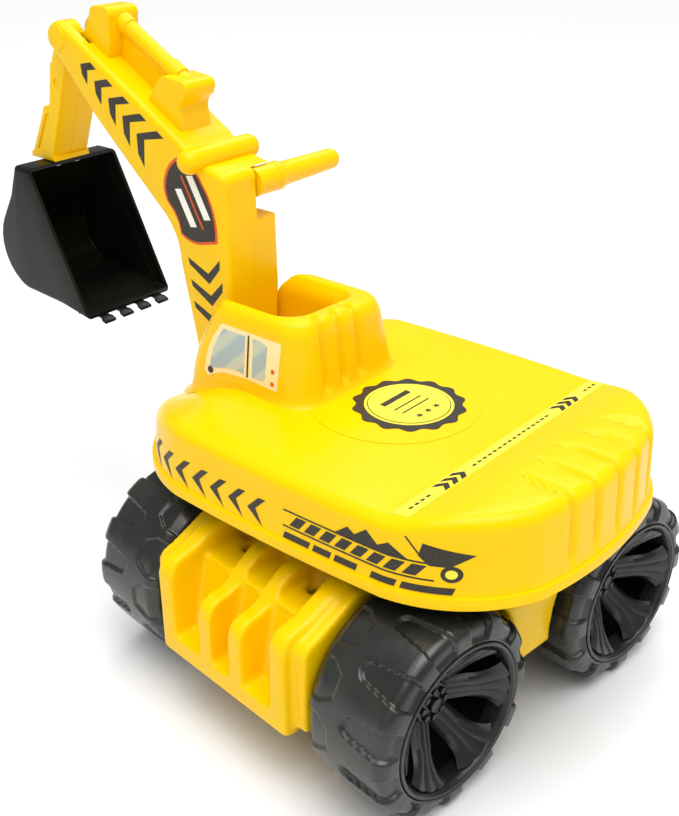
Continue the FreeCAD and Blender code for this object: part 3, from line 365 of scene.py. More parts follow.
for side in (-1, 1):
    for end in (-1, 1):
        y = end * WHEELBASE_HALF
        start, far = (side * BODY_SIDE, y, AXLE_HEIGHT), (side * 170, y, AXLE_HEIGHT)
        cutters.append(drum("arch", ARCH_RADIUS, start, far, 96))
        cutters.append(drum("screw_recess", 6, (side * 31, end * 102, 106), (side * 31, end * 102, 140), 24))
cut(chassis, cutters)
moulded(chassis, 1.8, 6)
turned_with_wheels(chassis)
settled(chassis, "chassis", yellow, "yellow_shell", "chassis_shell")


# ---------------------------------------------------------------- wheels
# Four blow-moulded black tyres with a lugged tread, each with a spoked insert pressed in its
# mouth and a small knobbed cap on the hub. Made once on the +X side and copied to the corners.

TYRE_RADIUS = 67.0
TYRE_INNER = 74.0
TYRE_OUTER = 140.0
TREAD_STEPS = 432
LUG_PITCH = 30.0
POCKET_DEPTH = 2.6
PAD_DEPTH = 1.5
GROOVE_SLOPE = 1.7
SPOKES, KNOBS = 6, 8


def black_plastic(name, bright, deep, rough, grain):
    """Black polyethylene: a faint bloom of dust, a fine moulded grain and rubbed, glossier patches."""
    plastic = Finish(name)
    shade = plastic.mix(plastic.noise(22.0, 4.0).ramp(0.4, 0.8) * 0.7, deep, bright)
    rubbed = plastic.noise(60.0, 3.0, (1, 1, 0.5)).ramp(0.35, 0.7)
    fine = plastic.bump(plastic.noise(900.0, 2.0), grain)
    skin = plastic.bump(plastic.noise(110.0, 1.0), 0.0001, Normal=fine)
    return plastic.surface(Base_Color=shade, Roughness=rubbed * 0.12 + rough, Normal=skin, IOR=1.5)


tyre_black = black_plastic("tyre_black", colour(56, 59, 54), colour(36, 38, 35), 0.19, 0.00003)
rim_black = black_plastic("rim_black", colour(44, 46, 43), colour(24, 25, 24), 0.26, 0.00004)


def spun(name, profile, steps):
    """A closed outline of (distance along X, radius) turned round the X axis."""
    made = added(name, bpy.ops.mesh.primitive_circle_add, vertices=len(profile), fill_type="NOTHING")
    for vertex, (x, radius) in zip(made.data.vertices, profile):
        vertex.co = (x * MM, 0, radius * MM)
    bpy.ops.object.mode_set(mode="EDIT")
    bpy.ops.mesh.select_all(action="SELECT")
    bpy.ops.mesh.spin(steps=steps, angle=2 * math.pi, center=(0, 0, 0), axis=(1, 0, 0))
    bpy.ops.mesh.select_all(action="SELECT")
    bpy.ops.mesh.remove_doubles(threshold=0.00001)
    bpy.ops.object.mode_set(mode="OBJECT")
    return faces_out(made)


def soft(value):
    """0 below 0, 1 above 1 and smooth between."""
    value = min(max(value, 0.0), 1.0)
    return value * value * (3 - 2 * value)


def smooth(thing, degrees=32.0):
    """Shades a piece smooth, but for edges sharper than an angle."""
    select_only(thing)
    bpy.ops.object.shade_smooth_by_angle(angle=math.radians(degrees))
    return thing


def pressed_in(thing, depth_at):
    """Sinks each point of a skin by what depth_at gives for its place and normal."""
    normals = [vertex.normal.copy() for vertex in thing.data.vertices]
    for vertex, normal in zip(thing.data.vertices, normals):
        vertex.co -= normal * depth_at(vertex.co / MM, normal) * MM


def tread_depth(place, normal):
    """How far the tread lies below the lugs at a place across the tyre and round it."""
    x, radius = place.x, math.hypot(place.y, place.z)
    outwards = normal.dot(Vector((0, place.y, place.z)).normalized())
    if radius <= 53.5 or outwards <= -0.2 or (radius <= 62.5 and 77 <= x <= 136):
        return 0.0

    def sideways(centre):
        turned = math.degrees(math.atan2(place.z, place.y)) - centre
        away = (turned + LUG_PITCH / 2) % LUG_PITCH - LUG_PITCH / 2
        return abs(math.radians(away) * TYRE_RADIUS)

    u = sideways(LUG_PITCH / 2)
    half = 6.0 + max(0.0, min(x, 136.0) - 111.0) / 25.0 * 3.6
    inside = 6.0 - math.hypot(x - 111.0, u) if x < 111.0 else half - u
    pocket = POCKET_DEPTH * soft(inside / GROOVE_SLOPE + 0.5)
    u = sideways(0.0)
    inside = min(13.5 - u, 95.0 - x - max(0.0, u - 7.5) * 1.6, x - 75.5)
    depth = max(pocket, PAD_DEPTH * soft(inside / GROOVE_SLOPE + 0.5))
    return depth * (soft((radius - 54.5) / 2.0 + 0.5) if x > 130 else 1.0)


tread_line = [(TYRE_INNER, 57.0)] + arc((TYRE_INNER, 57.0), (77.0, 63.9), (84.0, 66.6), 8)
tread_line += [(84.0 + 46.0 * i / 44, 66.6 + 0.4 * math.sin(math.pi * i / 44)) for i in range(1, 45)]
tread_line += arc((130.0, 66.6), (136.9, 63.9), (TYRE_OUTER - 0.4, 57.0), 10) + [(TYRE_OUTER - 0.2, 55.0)]
mouth_line = [(TYRE_OUTER, 53.0), (TYRE_OUTER - 0.3, 51.9), (TYRE_OUTER - 1.2, 51.3), (135.5, 51.3)]
inner_line = [(135.5, 57.0), (130.5, 62.0), (83.0, 62.0), (78.0, 57.0), (78.0, 9.2), (99.9, 9.2), (99.9, 4.1),
              (TYRE_INNER, 4.1), (TYRE_INNER, 30.0)]
tyre = spun("tyre", tread_line + mouth_line + inner_line, TREAD_STEPS)
pressed_in(tyre, tread_depth)
smooth(tyre, 50)

rim_line = [(126.0, 50.9), (139.6, 50.9), (140.3, 50.2), (140.2, 49.0), (138.6, 47.6), (136.0, 46.8),
            (131.0, 46.4), (126.0, 46.6)]
insert_parts = [spun("rim", rim_line, 144)]
for i in range(SPOKES):
    spoke = added("spoke", bpy.ops.mesh.primitive_grid_add, x_subdivisions=20, y_subdivisions=19, size=2.0)
    for vertex in spoke.data.vertices:
        run, across = (vertex.co.x + 1) / 2, vertex.co.y
        flare = max(0.0, run - 0.45) / 0.55
        half = 5.6 + 1.2 * run + 11.0 * flare ** 2.4
        ridge = 0.9 * math.cos(across * 2 * math.pi * 1.45) * (1 - abs(across) ** 6)
        radius = 11.0 + 37.2 * run
        swing = across * half / radius
        depth = 111.0 + 24.5 * run ** 1.15 - 3.0 * abs(across) ** 4 + ridge * (1 - 0.3 * flare)
        vertex.co = Vector((depth, radius * math.sin(swing), radius * math.cos(swing))) * MM
    modify(spoke, "SOLIDIFY", thickness=4.2 * MM, offset=-1.0)
    spoke.data.transform(Matrix.Rotation(2 * math.pi * (i + 0.5) / SPOKES, 4, "X"))
    insert_parts.append(spoke)
hub_line = [(99.95, 10.2), (99.95, 15.0), (113.0, 15.0), (115.0, 13.6), (115.2, 10.2)]
insert_parts.append(spun("hub", hub_line, 72))
insert_parts.append(spun("collar", [(92.0, 9.25), (92.0, 15.0), (100.0, 15.0), (100.0, 9.25)], 72))
insert = smooth(join(insert_parts, "wheel_insert"), 40)

cap = modify(drum("cap", 13.8, (112.0, 0, 0), (118.0, 0, 0), 48), "BEVEL", width=1.6 * MM, segments=3,
             limit_method="ANGLE")
knobs = []
for i in range(KNOBS):
    turn_angle = 2 * math.pi * i / KNOBS
    y, z = 9.6 * math.cos(turn_angle), 9.6 * math.sin(turn_angle)
    knobs.append(drum("knob", 2.3, (116.0, y, z), (120.4, y, z), 12))
boss = drum("boss", 4.6, (116.0, 0, 0), (121.2, 0, 0), 24)
hub_cap = join([cap] + knobs + [boss], "hub_cap")
smooth(modify(hub_cap, "BEVEL", width=0.5 * MM, segments=2, limit_method="ANGLE"), 35)

wheel_models = ((tyre, "tyre_tread_", "tyre_", tyre_black),
                (insert, "wheel_spokes_", "wheel_insert_", rim_black),
                (hub_cap, "wheel_cap_", "hub_cap_", rim_black))
corners = (("front_left", -1, 1), ("front_right", 1, 1), ("rear_left", -1, -1), ("rear_right", 1, -1))
for corner, side, end in corners:
    for model, name, node, finish in wheel_models:
        copy = bpy.data.objects.new(name + corner, model.data.copy())
        bpy.context.scene.collection.objects.link(copy)
        if side < 0:
            copy.data.transform(Matrix.Rotation(math.pi, 4, "Z"))
        copy.data.transform(Matrix.Translation((0, end * WHEELBASE_HALF * MM, AXLE_HEIGHT * MM)))
        turned_with_wheels(copy)
        settled(copy, "wheel_" + corner, finish, "black_wheel", node + corner)
for model in (tyre, insert, hub_cap):
    bpy.data.objects.remove(model)


# ---------------------------------------------------------------- seat
# A broad oval seat in one yellow moulding, with a turned-down rim, a raised back edge with
# shallow flutes and a slot in front for the boom. The wall is a few millimetres thick.

SEAT_RIM_Z, SEAT_STEP_Z, SEAT_TOP_Z = 146.0, 154.0, 194.0
SEAT_ROUNDING = 8.5
CREST_RISE, NOSE_DROP, NOSE_DIP = 9.0, 14.0, 7.0
SEAT_FLUTES = (40.0, 17.0, -8.0, -33.0, -57.0)
WELL_HALF, WELL_REAR, WELL_FLOOR = 28.0, 66.0, 160.0
SLOT_GAP = 1.5


def seat_plan(inset):
    """The seat's outline from above, drawn in by a distance. It is drawn finest at the back."""
    a = (85.0 - 0.06 * inset, 122.5 - inset)
    c = (131.0 - 0.71 * inset, 101.0 - 0.71 * inset)
    e = (157.0 - 0.95 * inset, 65.0 - 0.31 * inset)
    tip, side = 165.0 - inset, 125.0 - inset
    stations = [a, (0, side), (-a[0], a[1]), (-c[0], c[1]), (-e[0], e[1]), (-tip, 0), (-e[0], -e[1]),
                (-c[0], -c[1]), (-a[0], -a[1]), (0, -side), (a[0], -a[1]), (c[0], -c[1]), (e[0], -e[1]),
                (tip, 0), e, c, a]
    points = []
    for i, count in enumerate((24, 30, 150, 30, 24, 18, 18, 18)):
        points += arc(stations[2 * i], stations[2 * i + 1], stations[2 * i + 2], count)
    return points


def stack(name, rings):
    """A solid that grows from one level outline to the next, each at its own height."""
    count, heights = len(rings[0][0]), len(rings)
    made = added(name, bpy.ops.mesh.primitive_cylinder_add, vertices=count, depth=1.0, end_fill_type="NGON")
    bpy.ops.object.mode_set(mode="EDIT")
    for k in range(1, heights - 1):
        bpy.ops.mesh.select_all(action="SELECT")
        bpy.ops.mesh.bisect(plane_co=(0, 0, k / (heights - 1) - 0.5), plane_no=(0, 0, 1))
    bpy.ops.object.mode_set(mode="OBJECT")
    for vertex in made.data.vertices:
        points, z = rings[round((vertex.co.z + 0.5) * (heights - 1))]
        turn_share = math.atan2(vertex.co.x, vertex.co.y) / (2 * math.pi)
        x, y = points[round(-turn_share * count) % count]
        vertex.co = (x * MM, y * MM, z * MM)
    return faces_out(made)


def crown(plan, inset, z, radius, steps=8):
    """Rings that round a top edge over: each is drawn in and raised along a quarter circle."""
    rings = []
    for i in range(1, steps + 1):
        angle = math.pi / 2 * i / steps
        rings.append((plan(inset + radius * (1 - math.cos(angle))), z - radius * (1 - math.sin(angle))))
    return rings


def seat_rise(x):
    """How far the seat's top lies above its middle at a place along it."""
    return CREST_RISE * soft((-78.0 - x) / 48.0) - NOSE_DROP * soft((x - 82.0) / 74.0)


def nose_dip(x):
    """How far the seat's nose dips at a place along it, on top of its fall."""
    return NOSE_DIP * soft((x - 112.0) / 42.0)


def flutes(y, places, depth, width):
    """The depth of a row of soft upright grooves at a place across them."""
    return depth * sum(math.exp(-((y - place) / width) ** 2) for place in places)


def seat_flute_depth(place, normal):
    x, y, z = place
    if x >= -112 or z <= 156:
        return 0.0
    reach = soft((-121.0 - 0.06 * abs(y) - x) / 5.0) * soft((z - 157.5) / 4.0)
    return reach * flutes(y, SEAT_FLUTES, 3.7, 2.4)


wall_foot, wall_top = SEAT_STEP_Z + 0.7, SEAT_TOP_Z - SEAT_ROUNDING
rings = [(seat_plan(0.7), SEAT_RIM_Z), (seat_plan(0.0), SEAT_RIM_Z + 0.7), (seat_plan(0.0), SEAT_STEP_Z - 0.9),
         (seat_plan(0.4), SEAT_STEP_Z - 0.2), (seat_plan(2.0), SEAT_STEP_Z), (seat_plan(2.6), wall_foot)]
rings += [(seat_plan(2.6 + 1.8 * i / 7), wall_foot + (wall_top - wall_foot) * i / 7) for i in range(1, 8)]
rings += crown(seat_plan, 4.4, SEAT_TOP_Z, SEAT_ROUNDING)
last = rings[-1][0]
for k in range(1, 15):
    share = 1 - k / 15.0
    rings.append(([(x * (0.35 + 0.65 * share), y * share) for x, y in last], SEAT_TOP_Z + 0.01 * k))
seat = stack("seat_moulding", rings)
for vertex in seat.data.vertices:
    x, y, z = vertex.co / MM
    dip = nose_dip(x) * soft((88.0 - abs(y)) / 40.0)
    vertex.co.z += (seat_rise(x) - dip) * soft((z - 156.0) / 38.0) * MM
step_disc = drum("step_disc", 57.0, (0, 0, 188.0), (0, 0, SEAT_TOP_Z + 0.55), 120)
under = stack("under", [(seat_plan(4.4), 130.0), (seat_plan(4.4), SEAT_STEP_Z - 0.5),
                        (seat_plan(10.5), SEAT_STEP_Z + 1.5), (seat_plan(12.5), 170.0),
                        (seat_plan(18.0), 178.0)])
slot = block("slot", WELL_REAR - SLOT_GAP, 200, -WELL_HALF - SLOT_GAP, WELL_HALF + SLOT_GAP, 130, 260)
pressed_in(faces_out(seat), seat_flute_depth)
cut(seat, [under])
join([seat, step_disc], "seat_moulding")
cut(seat, [slot])
settled(smooth(seat, 38), "upper", yellow, "yellow_shell")


# ---------------------------------------------------------------- cab
# A small driver's cab moulded on the seat, open on top: three low walls with soft edges round
# the slot that the boom stands in, with flutes down the back. It hides the boom's foot.

CAB_FOOT_Z, CAB_TOP_Z = 186.0, 250.0
CAB_FLUTES = (25.0, 7.5, -10.0)
TUB_WALL = 3


def round_plan(x0, x1, half, rear, front, count=8):
    """A rectangle from above with round corners, of one radius behind and another in front."""
    points = []
    corners = ((x1 - front, half - front, front, 0), (x0 + rear, half - rear, rear, 90),
               (x0 + rear, rear - half, rear, 180), (x1 - front, front - half, front, 270))
    for cx, cy, radius, start in corners:
        for i in range(count + 1):
            angle = math.radians(start + 90.0 * i / count)
            points.append((cx + radius * math.cos(angle), cy + radius * math.sin(angle)))
    return points


def cab_plan(z, outward=0.0):
    share = (z - CAB_FOOT_Z) / (CAB_TOP_Z - CAB_FOOT_Z)
    rear, front = max(19.0 + 3.0 * share + outward, 6.0), max(20.0 - 2.0 * share + outward, 6.0)
    return round_plan(35.0 + 7.0 * share - outward, 158.0 - 34.0 * share + outward,
                      53.5 - 6.5 * share + outward, rear, front)


def well_plan(outward):
    return round_plan(WELL_REAR - outward, 230.0, WELL_HALF + outward, 8.0 + outward, 3.0)


def cab_flute_depth(place, normal):
    x, y, z = place
    if not (22 < x < 63 and z > 196 and abs(y) < 40 and normal.x < 0.3):
        return 0.0
    return soft((z - 197.0) / 8.0) * soft((62.0 - x) / 8.0) * flutes(y, CAB_FLUTES, 4.8, 2.6)


rings = [(cab_plan(186, 3.6), 182), (cab_plan(188, 3.6), 193.0), (cab_plan(191, 2.2), 194.0),
         (cab_plan(194, 1.1), 195.4), (cab_plan(198, 0.4), 198)]
rings += [(cab_plan(z), z) for z in (203, 212, 226, 241)]
cab = stack("cab", rings + crown(lambda inset: cab_plan(CAB_TOP_Z - 3, -inset), 0.3, CAB_TOP_Z, 8.0, 6))
for vertex in cab.data.vertices:
    x, y, z = vertex.co / MM
    right_side = 4.5 * soft((16.0 - y) / 52.0) * soft((z - 200.0) / 50.0)
    foot = (seat_rise(x) - nose_dip(x)) * soft((208.0 - z) / 14.0)
    vertex.co.z -= (right_side - foot) * MM
tub_half = WELL_HALF + TUB_WALL
tub = block("tub", WELL_REAR - TUB_WALL, 161, -tub_half, tub_half, WELL_FLOOR - TUB_WALL, 180)
cab = modify(join([cab, tub], "cab_moulding"), "REMESH", mode="VOXEL", voxel_size=1.9 * MM, adaptivity=0.0)
well_widths = ((0, WELL_FLOOR), (0, 232), (0.6, 236), (2.2, 240), (4.8, 244), (8.4, 247.5), (13.5, 251),
               (13.5, 270))
cut(cab, [stack("well", [(well_plan(outward), z) for outward, z in well_widths])])
moulded(cab, 1.3, 3)
pressed_in(cab, cab_flute_depth)
settled(cab, "upper", yellow, "yellow_shell", "seat_shell")


# ---------------------------------------------------------------- boom
# Two hollow yellow halves screwed together from the right, with a fine parting line between
# them, soft outer edges, a forked nose for the dipper and a corner left open for the lever.

NOSE = (291.0, 399.0)
NOSE_RADIUS = 11.0
BOOM_HALF = 25.0
FORK_HALF, FORK_RADIUS = 17.0, 27.0
ARM_SLOPE = math.radians(28.93)
LEVER_AT = (132.0, 316.0)
GRIP_AT = (154.0, 334.0)
GRIP_RADIUS = 8.5


def along_arm(place, forward, below):
    """A point moved along the upper arm and square to it, in the side view."""
    return (place[0] + forward * math.cos(ARM_SLOPE) + below * math.sin(ARM_SLOPE),
            place[1] + forward * math.sin(ARM_SLOPE) - below * math.cos(ARM_SLOPE))


def round_edges(thing, chosen, width, segments=4):
    """Rounds the edges whose two ends chosen() accepts."""
    select_only(thing)
    bpy.context.tool_settings.mesh_select_mode = (False, True, False)
    bpy.ops.object.mode_set(mode="EDIT")
    bpy.ops.mesh.select_all(action="DESELECT")
    mesh = bmesh.from_edit_mesh(thing.data)
    for rim_edge in mesh.edges:
        rim_edge.select = chosen(rim_edge.verts[0].co / MM, rim_edge.verts[1].co / MM)
    bmesh.update_edit_mesh(thing.data)
    bpy.ops.mesh.bevel(offset=width * MM, segments=segments, profile=0.5, clamp_overlap=True)
    bpy.ops.object.mode_set(mode="OBJECT")
    bpy.context.tool_settings.mesh_select_mode = (True, False, False)
    return thing


def at_side(y):
    """Chooses the edges that lie in the plane at a place across the arm."""
    return lambda a, b: abs(a.y - y) < 0.01 and abs(b.y - y) < 0.01


def outline(start, *steps):
    """A side outline. A step is an end point, or an arc as (point on it, end)."""
    points = [start]
    for step in steps:
        if isinstance(step[0], tuple):
            points += arc(points[-1], step[0], step[1], 8)
        else:
            points.append(step)
    return points


nose_top = along_arm(NOSE, 0, -NOSE_RADIUS)
nose_tip = along_arm(NOSE, NOSE_RADIUS, 0)
nose_low = (NOSE[0] + 0.686 * NOSE_RADIUS, NOSE[1] - 0.728 * NOSE_RADIUS)
foot_rear, foot_low, foot_front = (130.0, 184.0), (146.0, 166.0), (162.0, 184.0)
boom_side = outline(nose_top, (170.0, 344.4), ((158.0, 336.0), (146.0, 331.0)), (134.0, 328.0),
                    ((128.5, 325.5), (127.0, 319.0)), (127.0, 305.0), ((126.4, 274.0), (125.8, 242.0)),
                    foot_rear, (foot_low, foot_front), (176.5, 258.0), ((181.5, 278.5), (193.0, 292.0)),
                    (217.0, 312.5), (257.0, 347.5), nose_low, (nose_tip, nose_top))[:-1]
for side, name, node in ((1, "boom_half_left", "boom_left"), (-1, "boom_half_right", "boom_right")):
    near, far = side * 0.03, side * BOOM_HALF
    half = slab(name, boom_side, near, far)
    round_edges(half, at_side(far), 4.2, 5)
    round_edges(half, at_side(near), 0.15, 1)
    cutters = [drum("fork", FORK_RADIUS, (NOSE[0], -side, NOSE[1]), (NOSE[0], side * FORK_HALF, NOSE[1]), 96),
               drum("bar_hole", GRIP_RADIUS - 0.2, (GRIP_AT[0], -side, GRIP_AT[1]),
                    (GRIP_AT[0], side * 30, GRIP_AT[1]), 48)]
    if side < 0:
        low, high, reach = LEVER_AT[1] - 25.0, LEVER_AT[1] + 11.5, LEVER_AT[0] + 15.5
        cutters.append(slab("window", [(100, low), (reach, low), (reach, high), (100, high)], -30, -4.5))
        for x, z in ((148.0, 226.0), (148.0, 280.0), (220.0, 331.0)):
            cutters.append(drum("screw_well", 3.8, (x, -30, z), (x, -20, z), 32))
    cut(half, cutters)
    face = side * (BOOM_HALF + 0.9)
    boss = drum("boss", 9.0, (NOSE[0], far - side * 0.5, NOSE[1]), (NOSE[0], face, NOSE[1]), 64)
    round_edges(boss, at_side(face), 0.9, 3)
    settled(smooth(join([half, boss], name)), "boom", yellow, "yellow_shell", node)


# ---------------------------------------------------------------- ram on the boom
# A make-believe hydraulic ram: two moulded blocks on the arm's top, a round rod between them
# with a collar at the front end, and a thin web that ties rod and arm together.

def arm_top(x):
    return nose_top[1] + (x - nose_top[0]) * math.tan(ARM_SLOPE)


def ram_block(name, side_view, low, high, above, width):
    """A moulded block on the arm: the edges that run across it, above a height, are rounded."""
    made = slab(name, side_view, low, high)
    return round_edges(made, lambda a, b: min(a.z, b.z) > above and abs(a.y - b.y) < 0.01, width, 5)


front_side = outline((249.0, arm_top(249.0) - 2), ((246.5, 394.0), (245.5, 400.0)), (244.5, 414.0),
                     ((245.3, 420.0), (250.5, 422.0)), (256.0, 421.6), ((262.5, 421.0), (265.5, 416.0)),
                     (269.0, 408.5), ((272.5, 404.3), (279.0, arm_top(279.0) - 2)))
front_block = ram_block("ram_front", front_side, -12.5, 14.0, arm_top(250) - 8, 4.6)
rear_side = outline((176.0, arm_top(176.0) - 2), (176.8, 359.0), ((175.8, 366.0), (171.3, 370.0)),
                    (170.0, 373.0), ((169.6, 379.0), (174.5, 381.6)), (188.0, 383.0),
                    ((193.0, 382.6), (197.0, 379.0)), (206.5, 368.0), (209.0, arm_top(209.0) - 2))
rear_block = ram_block("ram_rear", rear_side, -12.5, 15.5, arm_top(172) + 3, 4.2)
rear_end = along_arm((192.0, arm_top(192.0)), 0, -22.0)
front_end = along_arm((266.0, arm_top(266.0)), 0, -22.0)
run = (front_end[0] - rear_end[0], front_end[1] - rear_end[1])


def on_rod(share, above=0.0):
    return (rear_end[0] + run[0] * share - above * math.sin(ARM_SLOPE), 0.25,
            rear_end[1] + run[1] * share + above * math.cos(ARM_SLOPE))


rod_parts = [drum("ram_rod", 5.6, on_rod(0.0), on_rod(1.0), 48)]
for name, radius, start, end in (("ram_collar", 6.8, 0.77, 0.88), ("ram_foot_ring", 6.9, 0.10, 0.25)):
    ring = drum(name, radius, on_rod(start), on_rod(end), 48)
    rod_parts.append(round_edges(ring, lambda a, b: (a - b).length < 1.2, 1.2, 3))
web_corners = [on_rod(0.0, -24), on_rod(1.0, -24), on_rod(1.0), on_rod(0.0)]
rod_parts.append(slab("ram_web", [(x, z) for x, y, z in web_corners], -2.2, 2.7))
rod = join(rod_parts, "ram_rod")
for piece, node in ((front_block, "ram_front_block"), (rear_block, "ram_rear_block"), (rod, "ram_cylinder")):
    settled(smooth(piece), "boom", yellow, "yellow_shell", node)


# ---------------------------------------------------------------- hand grips
# The fixed cross bar at the elbow with ball ends, and the lever's tapered handle with its collar.

HANDLE_RADIUS = 7.5


def circle(x, y, radius, count):
    """Points round a circle."""
    return [(x + radius * math.cos(2 * math.pi * i / count), y + radius * math.sin(2 * math.pi * i / count))
            for i in range(count)]


def turned_bar(name, profile, start, direction, sides=48):
    """A round bar of changing thickness: (distance along, radius) pairs, closed at both ends."""
    made = stack(name, [(circle(0, 0, radius, sides), length) for length, radius in profile])
    tilt = Vector(direction).to_track_quat("Z", "Y").to_matrix().to_4x4()
    made.data.transform(Matrix.Translation(Vector(start) * MM) @ tilt)
    return made


def ball_end(length, radius, outwards, steps=7):
    """The profile of a round end: outwards is 1 at the far end and -1 at the near one."""
    pairs = [(length + outwards * radius * math.sin(math.pi / 2 * i / steps),
              radius * math.cos(math.pi / 2 * i / steps)) for i in range(steps)]
    pairs.append((length + outwards * radius, radius * 0.06))
    return pairs if outwards > 0 else pairs[::-1]


bar_profile = ball_end(8.5, GRIP_RADIUS, -1) + [(24, 8.5), (36, 8.6), (48, 8.5)]
bar_profile += ball_end(63.0, GRIP_RADIUS, 1)
bar = turned_bar("grip_bar_round", bar_profile, (GRIP_AT[0], -33.5, GRIP_AT[1]), (0, 1, 0))
handle_profile = [(0.0, 9.2), (0.6, 10.2), (5.6, 10.4), (6.8, 9.8), (7.6, 9.0), (9.0, 8.7), (25.0, 8.3),
                  (45.0, 7.8)]
handle_profile += ball_end(61.5, HANDLE_RADIUS, 1)
handle = turned_bar("lever_handle", handle_profile, (LEVER_AT[0], -BOOM_HALF, LEVER_AT[1]), (0, -1, 0))
settled(smooth(bar, 50), "boom", yellow, "yellow_shell", "grip_bar")
settled(smooth(handle, 50), "lever", yellow, "yellow_shell", "lever_grip")


# ---------------------------------------------------------------- dipper
# The short forearm below the boom's nose, in two screwed halves. It has a round head in the
# fork, a stepped sleeve, and a sunk panel on each side above the foot that carries the bucket.

DIPPER_HALF = 16.6
dipper_side = outline((NOSE[0] - 9.9, NOSE[1] - 4.8),
                      ((NOSE[0] - 5.5, NOSE[1] + 9.53), (NOSE[0] + NOSE_RADIUS, NOSE[1])),
                      (311.5, 380.0), ((312.0, 378.5), (314.0, 377.6)), (320.4, 348.0),
                      ((321.5, 345.8), (325.0, 345.0)), ((328.6, 343.2), (330.5, 339.0)), (348.0, 307.5),
                      (351.0, 306.0), (351.0, 302.2), (322.0, 302.2), (322.0, 305.6), (324.0, 306.2),
                      (312.0, 336.0), (296.0, 377.0))
panel = [(322.6, 340.0), (326.8, 338.6), (342.5, 309.5), (329.0, 309.5), (320.2, 331.0)]
for side, name, node in ((1, "dipper_half_left", "dipper_left"), (-1, "dipper_half_right", "dipper_right")):
    near, far = side * 0.1, side * DIPPER_HALF
    half = slab(name, dipper_side, near, far)
    round_edges(half, at_side(far), 1.6, 3)
    screw_depth = 3.0 if side < 0 else 1.0
    cut(half, [slab("panel", panel, far - side * 1.2, far + side * 2),
               drum("slot", 21.0, (NOSE[0], -side, NOSE[1]), (NOSE[0], side * 8.9, NOSE[1])),
               drum("screw_well", 3.2, (309, far - side * screw_depth, 364), (309, far + side * 4, 364), 32)])
    if side > 0:
        x, z = NOSE[0] + 3.386, NOSE[1] - 6.126
        join([half, drum("horn", 2.0, (x, -9, z), (x, 9, z), 32)], name)
    settled(smooth(half), "dipper", yellow, "yellow_shell", node)


# ---------------------------------------------------------------- bucket
# A thin-walled black scoop with a round back, softly rounded corners, a raised line inside each
# cheek, a step along the lip and four flat tabs for teeth.

BUCKET_HALF, BUCKET_WALL = 42.0, 2.6
MOUTH_TOP, MOUTH_LOW = (323.0, 301.6), (268.0, 193.0)
bucket_side = outline(MOUTH_TOP, (338.0, 301.6), ((340.5, 301.0), (342.0, 299.0)), (351.0, 277.0),
                      (365.0, 256.0), ((371.0, 233.0), (353.0, 204.0)), ((346.5, 201.0), (338.0, 200.0)),
                      (300.0, 198.0), MOUTH_LOW)


def bucket_plastic(name, bright, deep, rough):
    """Injection-moulded black plastic with a matt, slightly streaked skin."""
    plastic = Finish(name)
    streaks = plastic.noise(30.0, 3.0, (1.0, 0.25, 1.0)).ramp(0.3, 0.75)
    wear = plastic.noise(16.0, 5.0).ramp(0.45, 0.8)
    fine = plastic.bump(plastic.noise(1400.0, 2.0), 0.00004)
    return plastic.surface(Base_Color=plastic.mix(streaks, deep, bright), Roughness=wear * 0.14 + rough,
                           Normal=fine, Specular_IOR_Level=0.2)


bucket_black = bucket_plastic("bucket_black", colour(24, 25, 22), colour(13, 14, 12), 0.2)
scoop = slab("bucket_scoop", bucket_side, -BUCKET_HALF, BUCKET_HALF, "Y")
mouth_run = Vector((MOUTH_TOP[0] - MOUTH_LOW[0], 0, MOUTH_TOP[1] - MOUTH_LOW[1])).normalized()
mouth_out = Vector((-mouth_run.z, 0, mouth_run.x))


def ahead_of_mouth(point):
    """How far a point lies in front of the plane of the mouth."""
    return (Vector(point) - Vector((MOUTH_LOW[0], 0, MOUTH_LOW[1]))).dot(mouth_out)


def on_cheek_edge(a, b):
    """Chooses the edges round both cheeks, but not those of the mouth."""
    at_cheek = abs(abs(a.y) - BUCKET_HALF) < 0.01 and abs(a.y - b.y) < 0.01
    return at_cheek and not (abs(ahead_of_mouth(a)) < 0.05 and abs(ahead_of_mouth(b)) < 0.05)


def beside_mouth(along, inward):
    """A point in the side view, along the mouth from its low end and inward from its plane."""
    return (MOUTH_LOW[0] + mouth_run.x * along - mouth_out.x * inward,
            MOUTH_LOW[1] + mouth_run.z * along - mouth_out.z * inward)


select_only(scoop)
bpy.ops.object.mode_set(mode="EDIT")
bpy.ops.mesh.select_mode(type="FACE")
bpy.ops.mesh.select_all(action="DESELECT")
mesh = bmesh.from_edit_mesh(scoop.data)
for face in mesh.faces:
    face.select = all(abs(ahead_of_mouth(vertex.co / MM)) < 0.05 for vertex in face.verts)
bmesh.update_edit_mesh(scoop.data)
bpy.ops.mesh.delete(type="FACE")
bpy.ops.mesh.select_mode(type="VERT")
bpy.ops.object.mode_set(mode="OBJECT")
round_edges(scoop, on_cheek_edge, 6.5, 6)
modify(scoop, "SOLIDIFY", thickness=BUCKET_WALL * MM, offset=-1.0, use_even_offset=True)
modify(scoop, "BEVEL", width=0.7 * MM, segments=3, limit_method="ANGLE", angle_limit=math.radians(60))
parts = [scoop]
cheek_line = [beside_mouth(7, 10), beside_mouth(113, 10), beside_mouth(113, 12.2), beside_mouth(7, 12.2)]
for side in (-1, 1):
    inner = side * (BUCKET_HALF - BUCKET_WALL)
    parts.append(slab("cheek_line", cheek_line, inner, inner - side * 1.7))
lip_x = MOUTH_LOW[0] + 13
lip_step = [(lip_x, 196.2), (lip_x + 2, 196.4), (lip_x + 2, 198.0), (lip_x, 197.6)]
parts.append(slab("lip_step", lip_step, -37, 37))
tab = [(274, -4), (265.5, -4), (263.5, -5.5), (259.0, -5.5), (259.0, 5.5), (263.5, 5.5), (265.5, 4), (274, 4)]
